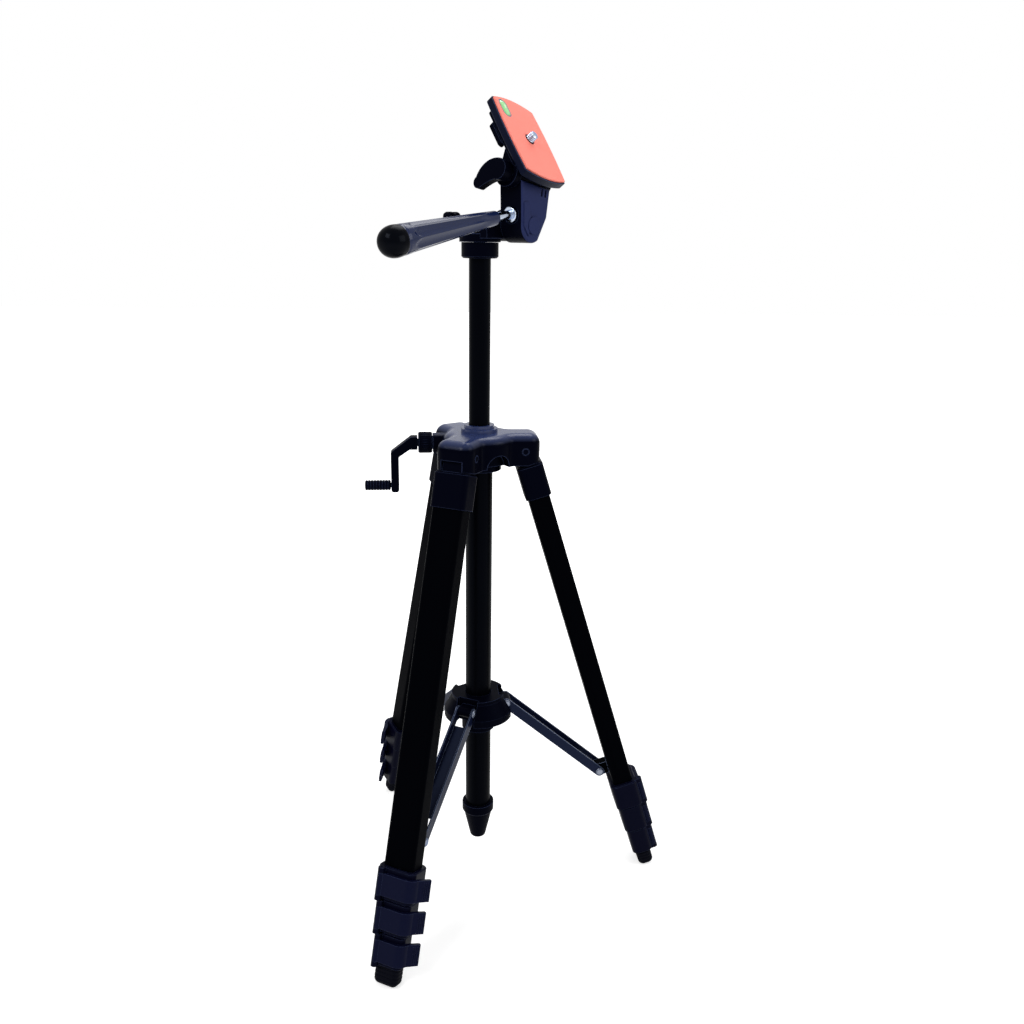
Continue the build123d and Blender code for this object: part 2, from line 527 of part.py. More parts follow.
# ---------------------------------------------------------------- crown
pinion_tip = PINION_RADIUS + ADDENDUM
rack_tip = PITCH_LINE + ADDENDUM
rack_side = crank_plane(0).x_dir
with BuildPart() as crown:
    with BuildSketch(column_plane(CROWN_BOTTOM)):
        Circle(CROWN_RADIUS)
        for azimuth in LEG_AZIMUTHS:
            with Locations(Location((0, 0, 0), (0, 0, azimuth))):
                with Locations((ARM_REACH / 2 - 5, 0)):
                    RectangleRounded(ARM_REACH + 10, ARM_WIDTH, ARM_CORNER)
    extrude(amount=CROWN_TOP - CROWN_BOTTOM)
    inner_corners = crown.edges().filter_by(Axis.Z).sort_by_distance(AXIS + UP * CROWN_BOTTOM)[:6]
    fillet(inner_corners, ARM_INNER_CORNER)
    fillet(crown.faces().sort_by(Axis.Z)[-1].edges(), ARM_SHOULDER)
    with BuildSketch(column_plane(SOCKET_BOTTOM)):
        Circle(SOCKET_RADIUS)
    extrude(amount=CROWN_TOP - SOCKET_BOTTOM)
    with BuildSketch(column_plane(CROWN_TOP - 1)):
        Circle(COLLAR_RING_RADIUS)
    extrude(amount=COLLAR_RING_TOP - CROWN_TOP)
    with BuildSketch(column_plane(COLLAR_RING_TOP - 1)):
        Circle(COLLAR_RING_RADIUS - 2.5)
    extrude(amount=1 + 1.6)
    with BuildSketch(crank_plane(ARM_SLOT_START - 6)):
        Circle(BOSS_RADIUS)
    extrude(amount=BOSS_END - ARM_SLOT_START + 6)
    with BuildSketch(crank_plane(BOSS_END)):
        Circle(BUSH_RADIUS)
    extrude(amount=BUSH_END - BOSS_END)
    for azimuth in LEG_AZIMUTHS:
        # Slot and pin bore for the leg's tongue, and the slanted seat above its knuckle.
        slot_width = TONGUE_WIDTH + 2 * CHEEK_GAP
        slot_floor = column_plane(SOCKET_BOTTOM - 1).rotated((0, 0, azimuth))
        hood_reach = ARM_REACH - ARM_END_WALL - ARM_SLOT_START
        with BuildSketch(slot_floor):
            with Locations((ARM_SLOT_START + hood_reach / 2, 0)):
                Rectangle(hood_reach, slot_width)
        extrude(amount=CROWN_TOP - CROWN_ROOF - SOCKET_BOTTOM + 1, mode=Mode.SUBTRACT)
        with BuildSketch(slot_floor):
            with Locations((ARM_SLOT_START + ARM_REACH / 2, 0)):
                Rectangle(ARM_REACH, slot_width)
        extrude(amount=HOOD_BOTTOM - SOCKET_BOTTOM + 1, mode=Mode.SUBTRACT)
        with BuildSketch(leg_side_plane(azimuth, KNUCKLE_PIVOT, -ARM_WIDTH)):
            Circle(PIVOT_PIN_RADIUS + PIN_GAP)
        extrude(amount=2 * ARM_WIDTH, mode=Mode.SUBTRACT)
        with BuildSketch(leg_side_plane(azimuth, KNUCKLE_TOP - 0.6, -ARM_WIDTH)):
            with Locations((12, 15)):
                Rectangle(50, 30)
        extrude(amount=2 * ARM_WIDTH, mode=Mode.SUBTRACT)
        # Arch in the skirt between this arm and the next.
        arch_side = radial(azimuth + 60)
        arch = Plane(
            origin=AXIS + UP * CROWN_BOTTOM + arch_side * (SOCKET_RADIUS + 2),
            x_dir=radial(azimuth + 150),
            z_dir=arch_side,
        )
        if abs(azimuth + 60 - CRANK_AZIMUTH) > 1:
            with BuildSketch(arch):
                Circle(ARCH_RADIUS)
            extrude(amount=CROWN_RADIUS, mode=Mode.SUBTRACT)
    # Bore and keyway for the column and its rack, socket for the guide tube, shaft and pinion.
    with BuildSketch(column_plane(GUIDE_TUBE_TOP)):
        Circle(COLUMN_RADIUS + COLUMN_GAP)
    extrude(amount=CROWN_TOP, mode=Mode.SUBTRACT)
    keyway = Plane(origin=AXIS + UP * GUIDE_TUBE_TOP, x_dir=rack_side, z_dir=UP)
    with BuildSketch(keyway):
        with Locations((rack_tip / 2 + 0.3, 0)):
            Rectangle(rack_tip + 0.6, RACK_WIDTH + 0.6)
    extrude(amount=CROWN_TOP, mode=Mode.SUBTRACT)
    with BuildSketch(column_plane(SOCKET_BOTTOM - 1)):
        Circle(GUIDE_TUBE_RADIUS)
    extrude(amount=GUIDE_TUBE_TOP - SOCKET_BOTTOM + 1, mode=Mode.SUBTRACT)
    with BuildSketch(crank_plane(-PINION_WIDTH / 2 - 0.4)):
        Circle(pinion_tip + 0.25)
    extrude(amount=PINION_WIDTH + 0.8, mode=Mode.SUBTRACT)
    with BuildSketch(crank_plane(-PINION_WIDTH / 2 - 5)):
        Circle(CRANK_SHAFT_RADIUS - 0.6 + PIN_GAP)
    extrude(amount=5, mode=Mode.SUBTRACT)
    with BuildSketch(crank_plane(0)):
        Circle(CRANK_SHAFT_RADIUS + PIN_GAP)
    extrude(amount=BUSH_END + 1, mode=Mode.SUBTRACT)
write(crown.part, "crown")

# ---------------------------------------------------------------- guide tube and end cap
with BuildPart() as guide_tube:
    with BuildSketch(column_plane(GUIDE_TUBE_BOTTOM)):
        Circle(GUIDE_TUBE_RADIUS)
        Circle(GUIDE_TUBE_BORE, mode=Mode.SUBTRACT)
    extrude(amount=GUIDE_TUBE_TOP - GUIDE_TUBE_BOTTOM)
write(guide_tube.part, "guide_tube")

with BuildPart() as end_cap:
    with BuildSketch(Plane(origin=AXIS, x_dir=(1, 0, 0), z_dir=(0, -1, 0))):
        with BuildLine():
            Polyline(
                (GUIDE_TUBE_RADIUS, GUIDE_TUBE_BOTTOM),
                (GUIDE_TUBE_RADIUS, STOP_RING_TOP),
                (STOP_RING_RADIUS, STOP_RING_TOP),
                (STOP_RING_RADIUS, STOP_RING_BOTTOM),
                (GUIDE_TUBE_RADIUS + END_CAP_WALL, STOP_RING_BOTTOM - 1.5),
                (END_CAP_TIP_RADIUS, END_CAP_BOTTOM),
                (0, END_CAP_BOTTOM),
                (0, GUIDE_TUBE_BOTTOM),
                close=True,
            )
        make_face()
    revolve(axis=Axis(AXIS, UP))
    fillet(end_cap.edges().group_by(Axis.Z)[0], 2)
write(end_cap.part, "tube_end_cap")

# ---------------------------------------------------------------- brace hub
with BuildPart() as brace_hub:
    with BuildSketch(column_plane(HUB_BOTTOM)):
        Circle(HUB_SLEEVE_RADIUS)
    extrude(amount=HUB_TOP - HUB_BOTTOM)
    with BuildSketch(column_plane(HUB_SKIRT_BOTTOM)):
        Circle(HUB_SKIRT_RADIUS)
    extrude(amount=6)
    with BuildSketch(column_plane(HUB_SKIRT_BOTTOM + 6)):
        Circle(HUB_SKIRT_RADIUS)
    with BuildSketch(column_plane(HUB_TOP - 3)):
        Circle(HUB_PLATE_RADIUS)
    loft()
    with BuildSketch(column_plane(HUB_TOP - 3)):
        Circle(HUB_PLATE_RADIUS)
    extrude(amount=3)
    for azimuth in LEG_AZIMUTHS:
        with BuildSketch(column_plane(HUB_SKIRT_BOTTOM - 1).rotated((0, 0, azimuth))):
            with Locations((HUB_SLEEVE_RADIUS + 3 + HUB_SKIRT_RADIUS / 2, 0)):
                Rectangle(HUB_SKIRT_RADIUS, STRUT_WIDTH + 2 * RIVET_HEAD_HEIGHT + 1)
        extrude(amount=HUB_TOP, mode=Mode.SUBTRACT)
    for azimuth in LEG_AZIMUTHS:
        pin = AXIS + radial(azimuth) * HUB_PIVOT_RADIUS + UP * HUB_PIVOT_HEIGHT
        tongue = STRUT_WIDTH / 2 - STRUT_WALL - CHEEK_GAP
        side_plane = Plane(origin=pin, x_dir=radial(azimuth), z_dir=radial(azimuth - 90))
        with BuildSketch(side_plane.offset(-tongue)):
            Circle(STRUT_DEPTH / 2 - 0.2)
            with Locations((-4, 0)):
                Rectangle(8, STRUT_DEPTH - 0.4)
        extrude(amount=2 * tongue)
        with BuildSketch(side_plane.offset(-tongue)):
            Circle(RIVET_RADIUS + PIN_GAP)
        extrude(amount=2 * tongue, mode=Mode.SUBTRACT)
    with BuildSketch(column_plane(HUB_BOTTOM)):
        Circle(GUIDE_TUBE_RADIUS + HUB_GAP)
    extrude(amount=HUB_TOP, mode=Mode.SUBTRACT)
write(brace_hub.part, "brace_hub")

# ---------------------------------------------------------------- column with its rack
flank = tan(radians(PRESSURE_ANGLE))
tooth_half = RACK_PITCH / 4 - TOOTH_BACKLASH / 2
rack_plane = Plane(origin=AXIS + UP * CRANK_HEIGHT, x_dir=rack_side, z_dir=radial(CRANK_AZIMUTH))
first_tooth = int((RACK_BOTTOM - CRANK_HEIGHT) / RACK_PITCH)
last_tooth = int((RACK_TOP - CRANK_HEIGHT) / RACK_PITCH)
with BuildPart() as column_tube:
    with BuildSketch(column_plane(COLUMN_BOTTOM)):
        Circle(COLUMN_RADIUS)
        Circle(COLUMN_BORE, mode=Mode.SUBTRACT)
    extrude(amount=COLUMN_TOP - COLUMN_BOTTOM)
    flat = Plane(origin=AXIS + UP * RACK_BOTTOM, x_dir=rack_side, z_dir=UP)
    with BuildSketch(flat):
        with Locations((RACK_SEAT + 5, 0)):
            Rectangle(10, 2 * COLUMN_RADIUS)
    extrude(amount=RACK_TOP - RACK_BOTTOM, mode=Mode.SUBTRACT)
    with BuildSketch(rack_plane.offset(-RACK_WIDTH / 2)):
        for tooth in range(first_tooth, last_tooth + 1):
            middle = -tooth * RACK_PITCH
            root_half = tooth_half + DEDENDUM * flank
            tip_half = tooth_half - ADDENDUM * flank
            with BuildLine():
                Polyline(
                    (RACK_SEAT - 0.4, middle - root_half),
                    (PITCH_LINE - DEDENDUM, middle - root_half),
                    (rack_tip, middle - tip_half),
                    (rack_tip, middle + tip_half),
                    (PITCH_LINE - DEDENDUM, middle + root_half),
                    (RACK_SEAT - 0.4, middle + root_half),
                    close=True,
                )
            make_face()
    extrude(amount=RACK_WIDTH)
write(column_tube.part, "column_tube")

# ---------------------------------------------------------------- crank
root_radius = PINION_RADIUS - DEDENDUM
base_radius = PINION_RADIUS * cos(radians(PRESSURE_ANGLE))
tip_roll = sqrt((pinion_tip / base_radius) ** 2 - 1)
base_half_angle = tooth_half / PINION_RADIUS + flank - radians(PRESSURE_ANGLE)


def involute(roll, centre_angle, hand):
    """Point of a tooth flank at a roll angle, on either hand of the tooth's centre line."""
    swing = centre_angle + hand * (base_half_angle - roll + atan2(roll, 1))
    reach = base_radius * hypot(1, roll)
    return (reach * cos(swing), reach * sin(swing))


with BuildPart() as crank:
    with BuildSketch(crank_plane(-PINION_WIDTH / 2)):
        Circle(root_radius)
        for tooth in range(PINION_TEETH):
            centre_angle = (2 * tooth + 1) * pi / PINION_TEETH
            rolls = [tip_roll * step / 4 for step in range(5)]
            right = [involute(roll, centre_angle, -1) for roll in rolls]
            left = [involute(roll, centre_angle, 1) for roll in reversed(rolls)]
            with BuildLine():
                Polyline((0, 0), *right, *left, close=True)
            make_face()
    extrude(amount=PINION_WIDTH)
    with BuildSketch(crank_plane(-PINION_WIDTH / 2 - 4.6)):
        Circle(CRANK_SHAFT_RADIUS - 0.6)
    extrude(amount=4.6)
    with BuildSketch(crank_plane(PINION_WIDTH / 2)):
        Circle(CRANK_SHAFT_RADIUS)
    extrude(amount=CRANK_ARM_START - PINION_WIDTH / 2)
    with BuildSketch(crank_side_plane(-CRANK_ARM_WIDTH / 2)):
        with BuildLine():
            Polyline(
                (CRANK_ARM_START, -5),
                (CRANK_ARM_START, 5),
                (CRANK_ARM_START + 5, 5),
                (CRANK_ARM_KNEE + CRANK_ARM_THICKNESS, -7),
                (CRANK_ARM_KNEE + CRANK_ARM_THICKNESS, -CRANK_RADIUS - 5),
                (CRANK_ARM_KNEE, -CRANK_RADIUS - 5),
                (CRANK_ARM_KNEE, -11),
                (CRANK_ARM_START + 6, -5),
                close=True,
            )
        make_face()
    extrude(amount=CRANK_ARM_WIDTH)
    fillet(crank.edges().filter_by(Axis((0, 0, 0), radial(CRANK_AZIMUTH - 90))).sort_by(Axis.Z)[:4], 2)
    arm_face = CRANK_ARM_KNEE + CRANK_ARM_THICKNESS
    pin_place = crank_plane(arm_face - 1)
    with BuildSketch(pin_place):
        with Locations((0, CRANK_RADIUS)):
            Circle(GRIP_PIN_RADIUS)
    extrude(amount=1 + CRANK_GRIP_LENGTH - 2)
write(crank.part, "crank")

with BuildPart() as crank_grip:
    with BuildSketch(crank_plane(arm_face + 0.5)):
        with Locations((0, CRANK_RADIUS)):
            Circle(CRANK_GRIP_RADIUS)
    extrude(amount=CRANK_GRIP_LENGTH)
    fillet(crank_grip.edges(), 0.8)
    with BuildSketch(crank_plane(arm_face + 0.5)):
        with Locations((0, CRANK_RADIUS)):
            Circle(GRIP_PIN_RADIUS + PIN_GAP)
    extrude(amount=CRANK_GRIP_LENGTH - 2, mode=Mode.SUBTRACT)
write(crank_grip.part, "crank_grip")

with BuildPart() as lock_ring:
    with BuildSketch(crank_plane(BOSS_END + 0.4)):
        Circle(LOCK_RING_RADIUS)
    extrude(amount=LOCK_RING_LENGTH)
    chamfer(lock_ring.edges(), 0.8)
    with BuildSketch(crank_plane(BOSS_END)):
        Circle(BUSH_RADIUS + PIN_GAP)
    extrude(amount=LOCK_RING_LENGTH + 2, mode=Mode.SUBTRACT)
write(lock_ring.part, "column_lock_ring")

# ---------------------------------------------------------------- head socket and pan body
with BuildPart() as head_socket:
    with BuildSketch(column_plane(SOCKET_COLLAR_BOTTOM)):
        Circle(SOCKET_COLLAR_RADIUS)
    extrude(amount=SOCKET_COLLAR_TOP - SOCKET_COLLAR_BOTTOM)
    chamfer(head_socket.edges().group_by(Axis.Z)[0], 1.2)
    with BuildSketch(column_plane(SOCKET_COLLAR_TOP)):
        Circle(SPINDLE_RADIUS)
    extrude(amount=SPINDLE_TOP - SOCKET_COLLAR_TOP)
    with BuildSketch(column_plane(SOCKET_COLLAR_BOTTOM)):
        Circle(COLUMN_RADIUS)
    extrude(amount=COLUMN_TOP - SOCKET_COLLAR_BOTTOM, mode=Mode.SUBTRACT)
write(head_socket.part, "head_socket")

with BuildPart() as pan_body:
    with BuildSketch(column_plane(SOCKET_COLLAR_TOP + PAN_GAP)):
        Circle(PAN_DISC_RADIUS)
    extrude(amount=PAN_DISC_TOP - SOCKET_COLLAR_TOP - PAN_GAP)
    with BuildSketch(pan_side_plane(-PAN_BLOCK_LEFT)):
        with BuildLine():
            Polyline(
                (-PAN_BLOCK_REAR, PAN_DISC_TOP - 3),
                (-PAN_BLOCK_REAR, PAN_BLOCK_TOP),
                (TILT_AXIS_FORWARD, PAN_BLOCK_TOP),
                (TILT_AXIS_FORWARD, PAN_DISC_TOP - 3),
                close=True,
            )
        make_face()
    extrude(amount=PAN_BLOCK_LEFT + TILT_EAR_OUTER)
    fillet(pan_body.faces().filter_by(Axis.Z).sort_by(Axis.Z)[-1].edges(), PAN_BLOCK_ROUNDING)
    with BuildSketch(pan_side_plane(TILT_EAR_INNER)):
        with Locations((TILT_AXIS_FORWARD, TILT_AXIS_HEIGHT)):
            Circle(TILT_EAR_RADIUS)
    extrude(amount=TILT_EAR_OUTER - TILT_EAR_INNER)
    with BuildSketch(pan_side_plane(TILT_EAR_OUTER)):
        with Locations((TILT_AXIS_FORWARD, TILT_AXIS_HEIGHT)):
            Circle(TILT_PIN_RADIUS)
    extrude(amount=TILT_SIDE_GAP + TILT_BODY_WIDTH - 3)
    with BuildSketch(pan_side_plane(-PAN_BLOCK_LEFT)):
        with Locations((0, PAN_KNOB_HEIGHT)):
            Circle(PAN_KNOB_STEM_RADIUS + 1.5)
    extrude(amount=-6)
    with BuildSketch(column_plane(SOCKET_COLLAR_TOP)):
        Circle(SPINDLE_RADIUS + PIN_GAP)
    extrude(amount=SPINDLE_TOP - SOCKET_COLLAR_TOP + PAN_GAP, mode=Mode.SUBTRACT)
    with BuildSketch(pan_side_plane(-PAN_BLOCK_LEFT - 6)):
        with Locations((0, PAN_KNOB_HEIGHT)):
            Circle(PAN_KNOB_STEM_RADIUS + PIN_GAP)
    extrude(amount=12, mode=Mode.SUBTRACT)
write(pan_body.part, "pan_body")

with BuildPart() as pan_lock_knob:
    with BuildSketch(pan_side_plane(-PAN_KNOB_START)):
        with Locations((0, PAN_KNOB_HEIGHT)):
            Circle(PAN_KNOB_RADIUS)
    extrude(amount=-PAN_KNOB_LENGTH)
    with BuildSketch(pan_side_plane(-PAN_KNOB_START)):
        with Locations((0, PAN_KNOB_HEIGHT)):
            with PolarLocations(PAN_KNOB_RADIUS + 1.4, PAN_KNOB_LOBES):
                Circle(3)
    extrude(amount=-PAN_KNOB_LENGTH, mode=Mode.SUBTRACT)
    with BuildSketch(pan_side_plane(-PAN_KNOB_START)):
        with Locations((0, PAN_KNOB_HEIGHT)):
            Circle(PAN_KNOB_STEM_RADIUS)
    extrude(amount=PAN_KNOB_START - PAN_BLOCK_LEFT + 5)
write(pan_lock_knob.part, "pan_lock_knob")

# ---------------------------------------------------------------- tilt body
tilt_centre = (
    TILT_AXIS_FORWARD * cos(tilt) + (TILT_AXIS_HEIGHT - FLIP_AXIS_HEIGHT) * sin(tilt),
    (TILT_AXIS_HEIGHT - FLIP_AXIS_HEIGHT) * cos(tilt) - TILT_AXIS_FORWARD * sin(tilt),
)
body_left = -TILT_BODY_WIDTH / 2
barrel_rear = (tilt_centre[0] - TILT_BARREL_RADIUS, tilt_centre[1])
barrel_front = (
    tilt_centre[0] + TILT_BARREL_RADIUS * cos(radians(-50)),
    tilt_centre[1] + TILT_BARREL_RADIUS * sin(radians(-50)),
)
with BuildPart() as tilt_body:
    with BuildSketch(tilt_side_plane(body_left)):
        with BuildLine():
            Polyline(barrel_rear, (BLOCK_REAR, BLOCK_TOP), (BLOCK_FRONT, BLOCK_TOP))
            Polyline((BLOCK_FRONT, BLOCK_TOP), (BLOCK_FRONT, BLOCK_NOSE), barrel_front)
            RadiusArc(barrel_front, barrel_rear, TILT_BARREL_RADIUS)
        make_face()
    extrude(amount=TILT_BODY_WIDTH)
    across_body = Axis((0, 0, 0), SIDE)
    nose_edges = tilt_body.edges().filter_by(across_body).sort_by(Axis((0, 0, 0), LENS))[-2:]
    fillet(nose_edges.sort_by(Axis((0, 0, 0), CREST))[0], BLOCK_NOSE_ROUNDING)
    fillet(tilt_body.faces().sort_by(across_body)[-1].edges(), BLOCK_EDGE_ROUNDING)
    with BuildSketch(flip_cross_plane(BLOCK_FRONT)):
        Circle(FLIP_BARREL_RADIUS)
    extrude(amount=BLOCK_FRONT - BLOCK_REAR)
    # Raised cover and pivot cap on the outer side, two vents under the front edge.
    with BuildSketch(tilt_side_plane(-body_left)):
        with Locations(tilt_centre):
            Circle(6)
    extrude(amount=1.2)
    with BuildSketch(tilt_side_plane(-body_left)):
        with BuildLine():
            Polyline(
                (tilt_centre[0] - 10.5, tilt_centre[1] - 2),
                (tilt_centre[0] - 13, tilt_centre[1] + 13.6),
                (tilt_centre[0] - 9, tilt_centre[1] + 14.6),
                (tilt_centre[0] - 4, tilt_centre[1] + 4),
                (tilt_centre[0] - 4, tilt_centre[1] - 8),
                close=True,
            )
        make_face()
    extrude(amount=0.8)
    with BuildSketch(tilt_side_plane(-body_left - 1.5)):
        with Locations((BLOCK_FRONT - 9, BLOCK_TOP - 4), (BLOCK_FRONT - 5, BLOCK_TOP - 4)):
            Rectangle(1.8, 5)
    extrude(amount=2, mode=Mode.SUBTRACT)
    # Bores for the tilt pin, the handle's rod and the flip pin.
    with BuildSketch(tilt_side_plane(body_left)):
        with Locations(tilt_centre):
            Circle(TILT_PIN_RADIUS + PIN_GAP)
    extrude(amount=TILT_BODY_WIDTH - 2.5, mode=Mode.SUBTRACT)
    with BuildSketch(handle_plane(-HANDLE_ROD_INSERT - 0.4)):
        Circle(HANDLE_ROD_RADIUS + PIN_GAP)
    extrude(amount=40, mode=Mode.SUBTRACT)
    with BuildSketch(handle_plane(-0.2)):
        Circle(HANDLE_RING_RADIUS + 1)
    extrude(amount=40, mode=Mode.SUBTRACT)
    with BuildSketch(flip_cross_plane(BLOCK_FRONT)):
        Circle(FLIP_PIN_RADIUS + PIN_GAP)
    extrude(amount=BLOCK_FRONT - BLOCK_REAR, mode=Mode.SUBTRACT)
write(tilt_body.part, "tilt_body")

# ---------------------------------------------------------------- handle
with BuildPart() as handle_rod:
    with BuildSketch(handle_plane(-HANDLE_ROD_INSERT)):
        Circle(HANDLE_ROD_RADIUS)
    extrude(amount=HANDLE_ROD_INSERT + GRIP_START + 20)
    with BuildSketch(handle_plane(0)):
        Circle(HANDLE_RING_RADIUS)
    extrude(amount=HANDLE_RING_LENGTH)
    fillet(handle_rod.edges().filter_by(GeomType.CIRCLE).sort_by(SortBy.LENGTH)[-2:], 0.7)
write(handle_rod.part, "handle_rod")

grip_side = Plane(origin=handle_plane(0).origin, x_dir=HANDLE_AXIS, z_dir=SIDE)
flute_start, flute_end = GRIP_START + 9, GRIP_END - 13
dome_radius = (GRIP_DOME**2 + GRIP_END_RADIUS**2) / (2 * GRIP_DOME)
with BuildPart() as handle_grip:
    with BuildSketch(grip_side):
        with BuildLine():
            Line((GRIP_START, 0), (GRIP_START, GRIP_START_RADIUS))
            Line((GRIP_START, GRIP_START_RADIUS), (GRIP_END - GRIP_DOME, GRIP_END_RADIUS))
            RadiusArc((GRIP_END - GRIP_DOME, GRIP_END_RADIUS), (GRIP_END, 0), dome_radius)
            Line((GRIP_END, 0), (GRIP_START, 0))
        make_face()
    revolve(axis=Axis(handle_plane(0).origin, HANDLE_AXIS))
    for index in range(GRIP_FLUTES):
        turn = 2 * pi * (index + 0.5) / GRIP_FLUTES
        near, far = handle_plane(flute_start), handle_plane(flute_end)
        spoke = near.x_dir * cos(turn) + near.y_dir * sin(turn)
        start = near.origin + spoke * (GRIP_START_RADIUS + FLUTE_RADIUS)
        end = far.origin + spoke * (GRIP_END_RADIUS + FLUTE_RADIUS - FLUTE_DEPTH)
        with BuildSketch(Plane(origin=start, z_dir=end - start)):
            Circle(FLUTE_RADIUS)
        extrude(amount=(end - start).length, mode=Mode.SUBTRACT)
    with BuildSketch(handle_plane(GRIP_START)):
        Circle(HANDLE_ROD_RADIUS)
    extrude(amount=20, mode=Mode.SUBTRACT)
write(handle_grip.part, "handle_grip")

# ---------------------------------------------------------------- flip platform and its knob
ear_start = BLOCK_REAR - EAR_GAP
front_ear_end = BLOCK_FRONT + EAR_GAP + FRONT_EAR_THICKNESS
tray_high = PLATE_OFFSET + PLATE_LENGTH / 2 - 6
lever_x = PLATE_FORWARD - PLATE_WIDTH / 2 + RELEASE_WIDTH / 2 + 0.2
lever_top = TRAY_BOTTOM - 0.3
with BuildPart() as flip_platform:
    with BuildSketch(plate_plane(TRAY_BOTTOM)):
        with Locations((PLATE_FORWARD, (tray_high - TRAY_LOW_END) / 2)):
            RectangleRounded(PLATE_WIDTH - 2, tray_high + TRAY_LOW_END, 3)
    extrude(amount=TRAY_TOP - TRAY_BOTTOM)
    with BuildSketch(plate_plane(TRAY_BOTTOM)):
        with Locations((lever_x, RELEASE_PIVOT)):
            Circle(RELEASE_PIN_RADIUS + PIN_GAP)
    extrude(amount=TRAY_TOP, mode=Mode.SUBTRACT)
    with BuildSketch(flip_cross_plane(ear_start)):
        Circle(REAR_EAR_RADIUS)
    extrude(amount=REAR_EAR_THICKNESS)
    with BuildSketch(flip_cross_plane(front_ear_end)):
        Circle(FLIP_BARREL_RADIUS)
    extrude(amount=FRONT_EAR_THICKNESS)
    # Webs that stand each ear on the tray.
    web_plane = Plane(origin=FLIP_ORIGIN, x_dir=plate_plane(0).y_dir, z_dir=LENS)
    for start, thickness in ((ear_start, -REAR_EAR_THICKNESS), (front_ear_end, -FRONT_EAR_THICKNESS)):
        with BuildSketch(web_plane.offset(start)):
            with BuildLine():
                Polyline((-2, 0), (-2, TRAY_BOTTOM + 0.5), (16, TRAY_BOTTOM + 0.5), (6, -3), close=True)
            make_face()
        extrude(amount=thickness)
    with BuildSketch(flip_cross_plane(front_ear_end)):
        Circle(FLIP_PIN_RADIUS)
    extrude(amount=front_ear_end - ear_start + REAR_EAR_THICKNESS + 2)
write(flip_platform.part, "flip_platform")

knob_face = ear_start - REAR_EAR_THICKNESS - 0.4
with BuildPart() as wing_knob:
    with BuildSketch(flip_cross_plane(knob_face)):
        Circle(WING_HUB_RADIUS)
    extrude(amount=WING_HUB_LENGTH)
    with BuildSketch(flip_cross_plane(knob_face - WING_HUB_LENGTH)):
        Circle(WING_HUB_RADIUS)
        with BuildLine():
            ThreePointArc((2, WING_HUB_RADIUS), (-WING_REACH / 2, 5.5), (0.6 - WING_REACH, -5))
            ThreePointArc((0.6 - WING_REACH, -5), (-WING_REACH, 1 - WING_DROP), (4 - WING_REACH, -WING_DROP))
            ThreePointArc((4 - WING_REACH, -WING_DROP), (-9, -9), (-2, 0.5 - WING_HUB_RADIUS))
            Line((-2, 0.5 - WING_HUB_RADIUS), (2, WING_HUB_RADIUS))
        make_face()
    extrude(amount=WING_THICKNESS)
    with BuildSketch(flip_cross_plane(knob_face)):
        Circle(FLIP_PIN_RADIUS + PIN_GAP)
    extrude(amount=3, mode=Mode.SUBTRACT)
write(wing_knob.part, "flip_wing_knob")

with BuildPart() as release_lever:
    with BuildSketch(plate_plane(lever_top)):
        with Locations((lever_x, RELEASE_PIVOT + RELEASE_REACH / 2)):
            SlotCenterToCenter(RELEASE_REACH, RELEASE_WIDTH, rotation=90)
    extrude(amount=-RELEASE_THICKNESS)
    fillet(release_lever.edges().group_by(Axis((0, 0, 0), PLATE_NORMAL))[0], 0.8)
    with BuildSketch(plate_plane(lever_top)):
        with Locations((lever_x, RELEASE_PIVOT)):
            Circle(RELEASE_PIN_RADIUS)
    extrude(amount=TRAY_TOP - lever_top)
write(release_lever.part, "release_lever")

# ---------------------------------------------------------------- camera plate, pad, screw, vial
plate_bottom = TRAY_TOP + PLATE_GAP
vial_x = PLATE_FORWARD - PLATE_WIDTH / 2 + VIAL_SIDE_OFFSET
vial_y = PLATE_OFFSET + PLATE_LENGTH / 2 - VIAL_END_OFFSET


def plate_outline(plane, inset):
    """Barrel outline of the plate on a plane: four gently bowed sides."""
    half_x = PLATE_WIDTH / 2 - inset
    half_y = PLATE_LENGTH / 2 - inset
    bow_x = half_x + PLATE_SIDE_BULGE
    bow_y = half_y + PLATE_END_BULGE
    with BuildSketch(plane) as outline:
        with BuildLine():
            ThreePointArc((-half_x, -half_y), (0, -bow_y), (half_x, -half_y))
            ThreePointArc((half_x, -half_y), (bow_x, 0), (half_x, half_y))
            ThreePointArc((half_x, half_y), (0, bow_y), (-half_x, half_y))
            ThreePointArc((-half_x, half_y), (-bow_x, 0), (-half_x, -half_y))
        make_face()
    return outline.sketch


def centred_plate_plane(height):
    """Plate plane moved to the middle of the plate."""
    middle = plate_plane(height)
    origin = middle.origin + middle.x_dir * PLATE_FORWARD + middle.y_dir * PLATE_OFFSET
    return Plane(origin=origin, x_dir=middle.x_dir, z_dir=middle.z_dir)


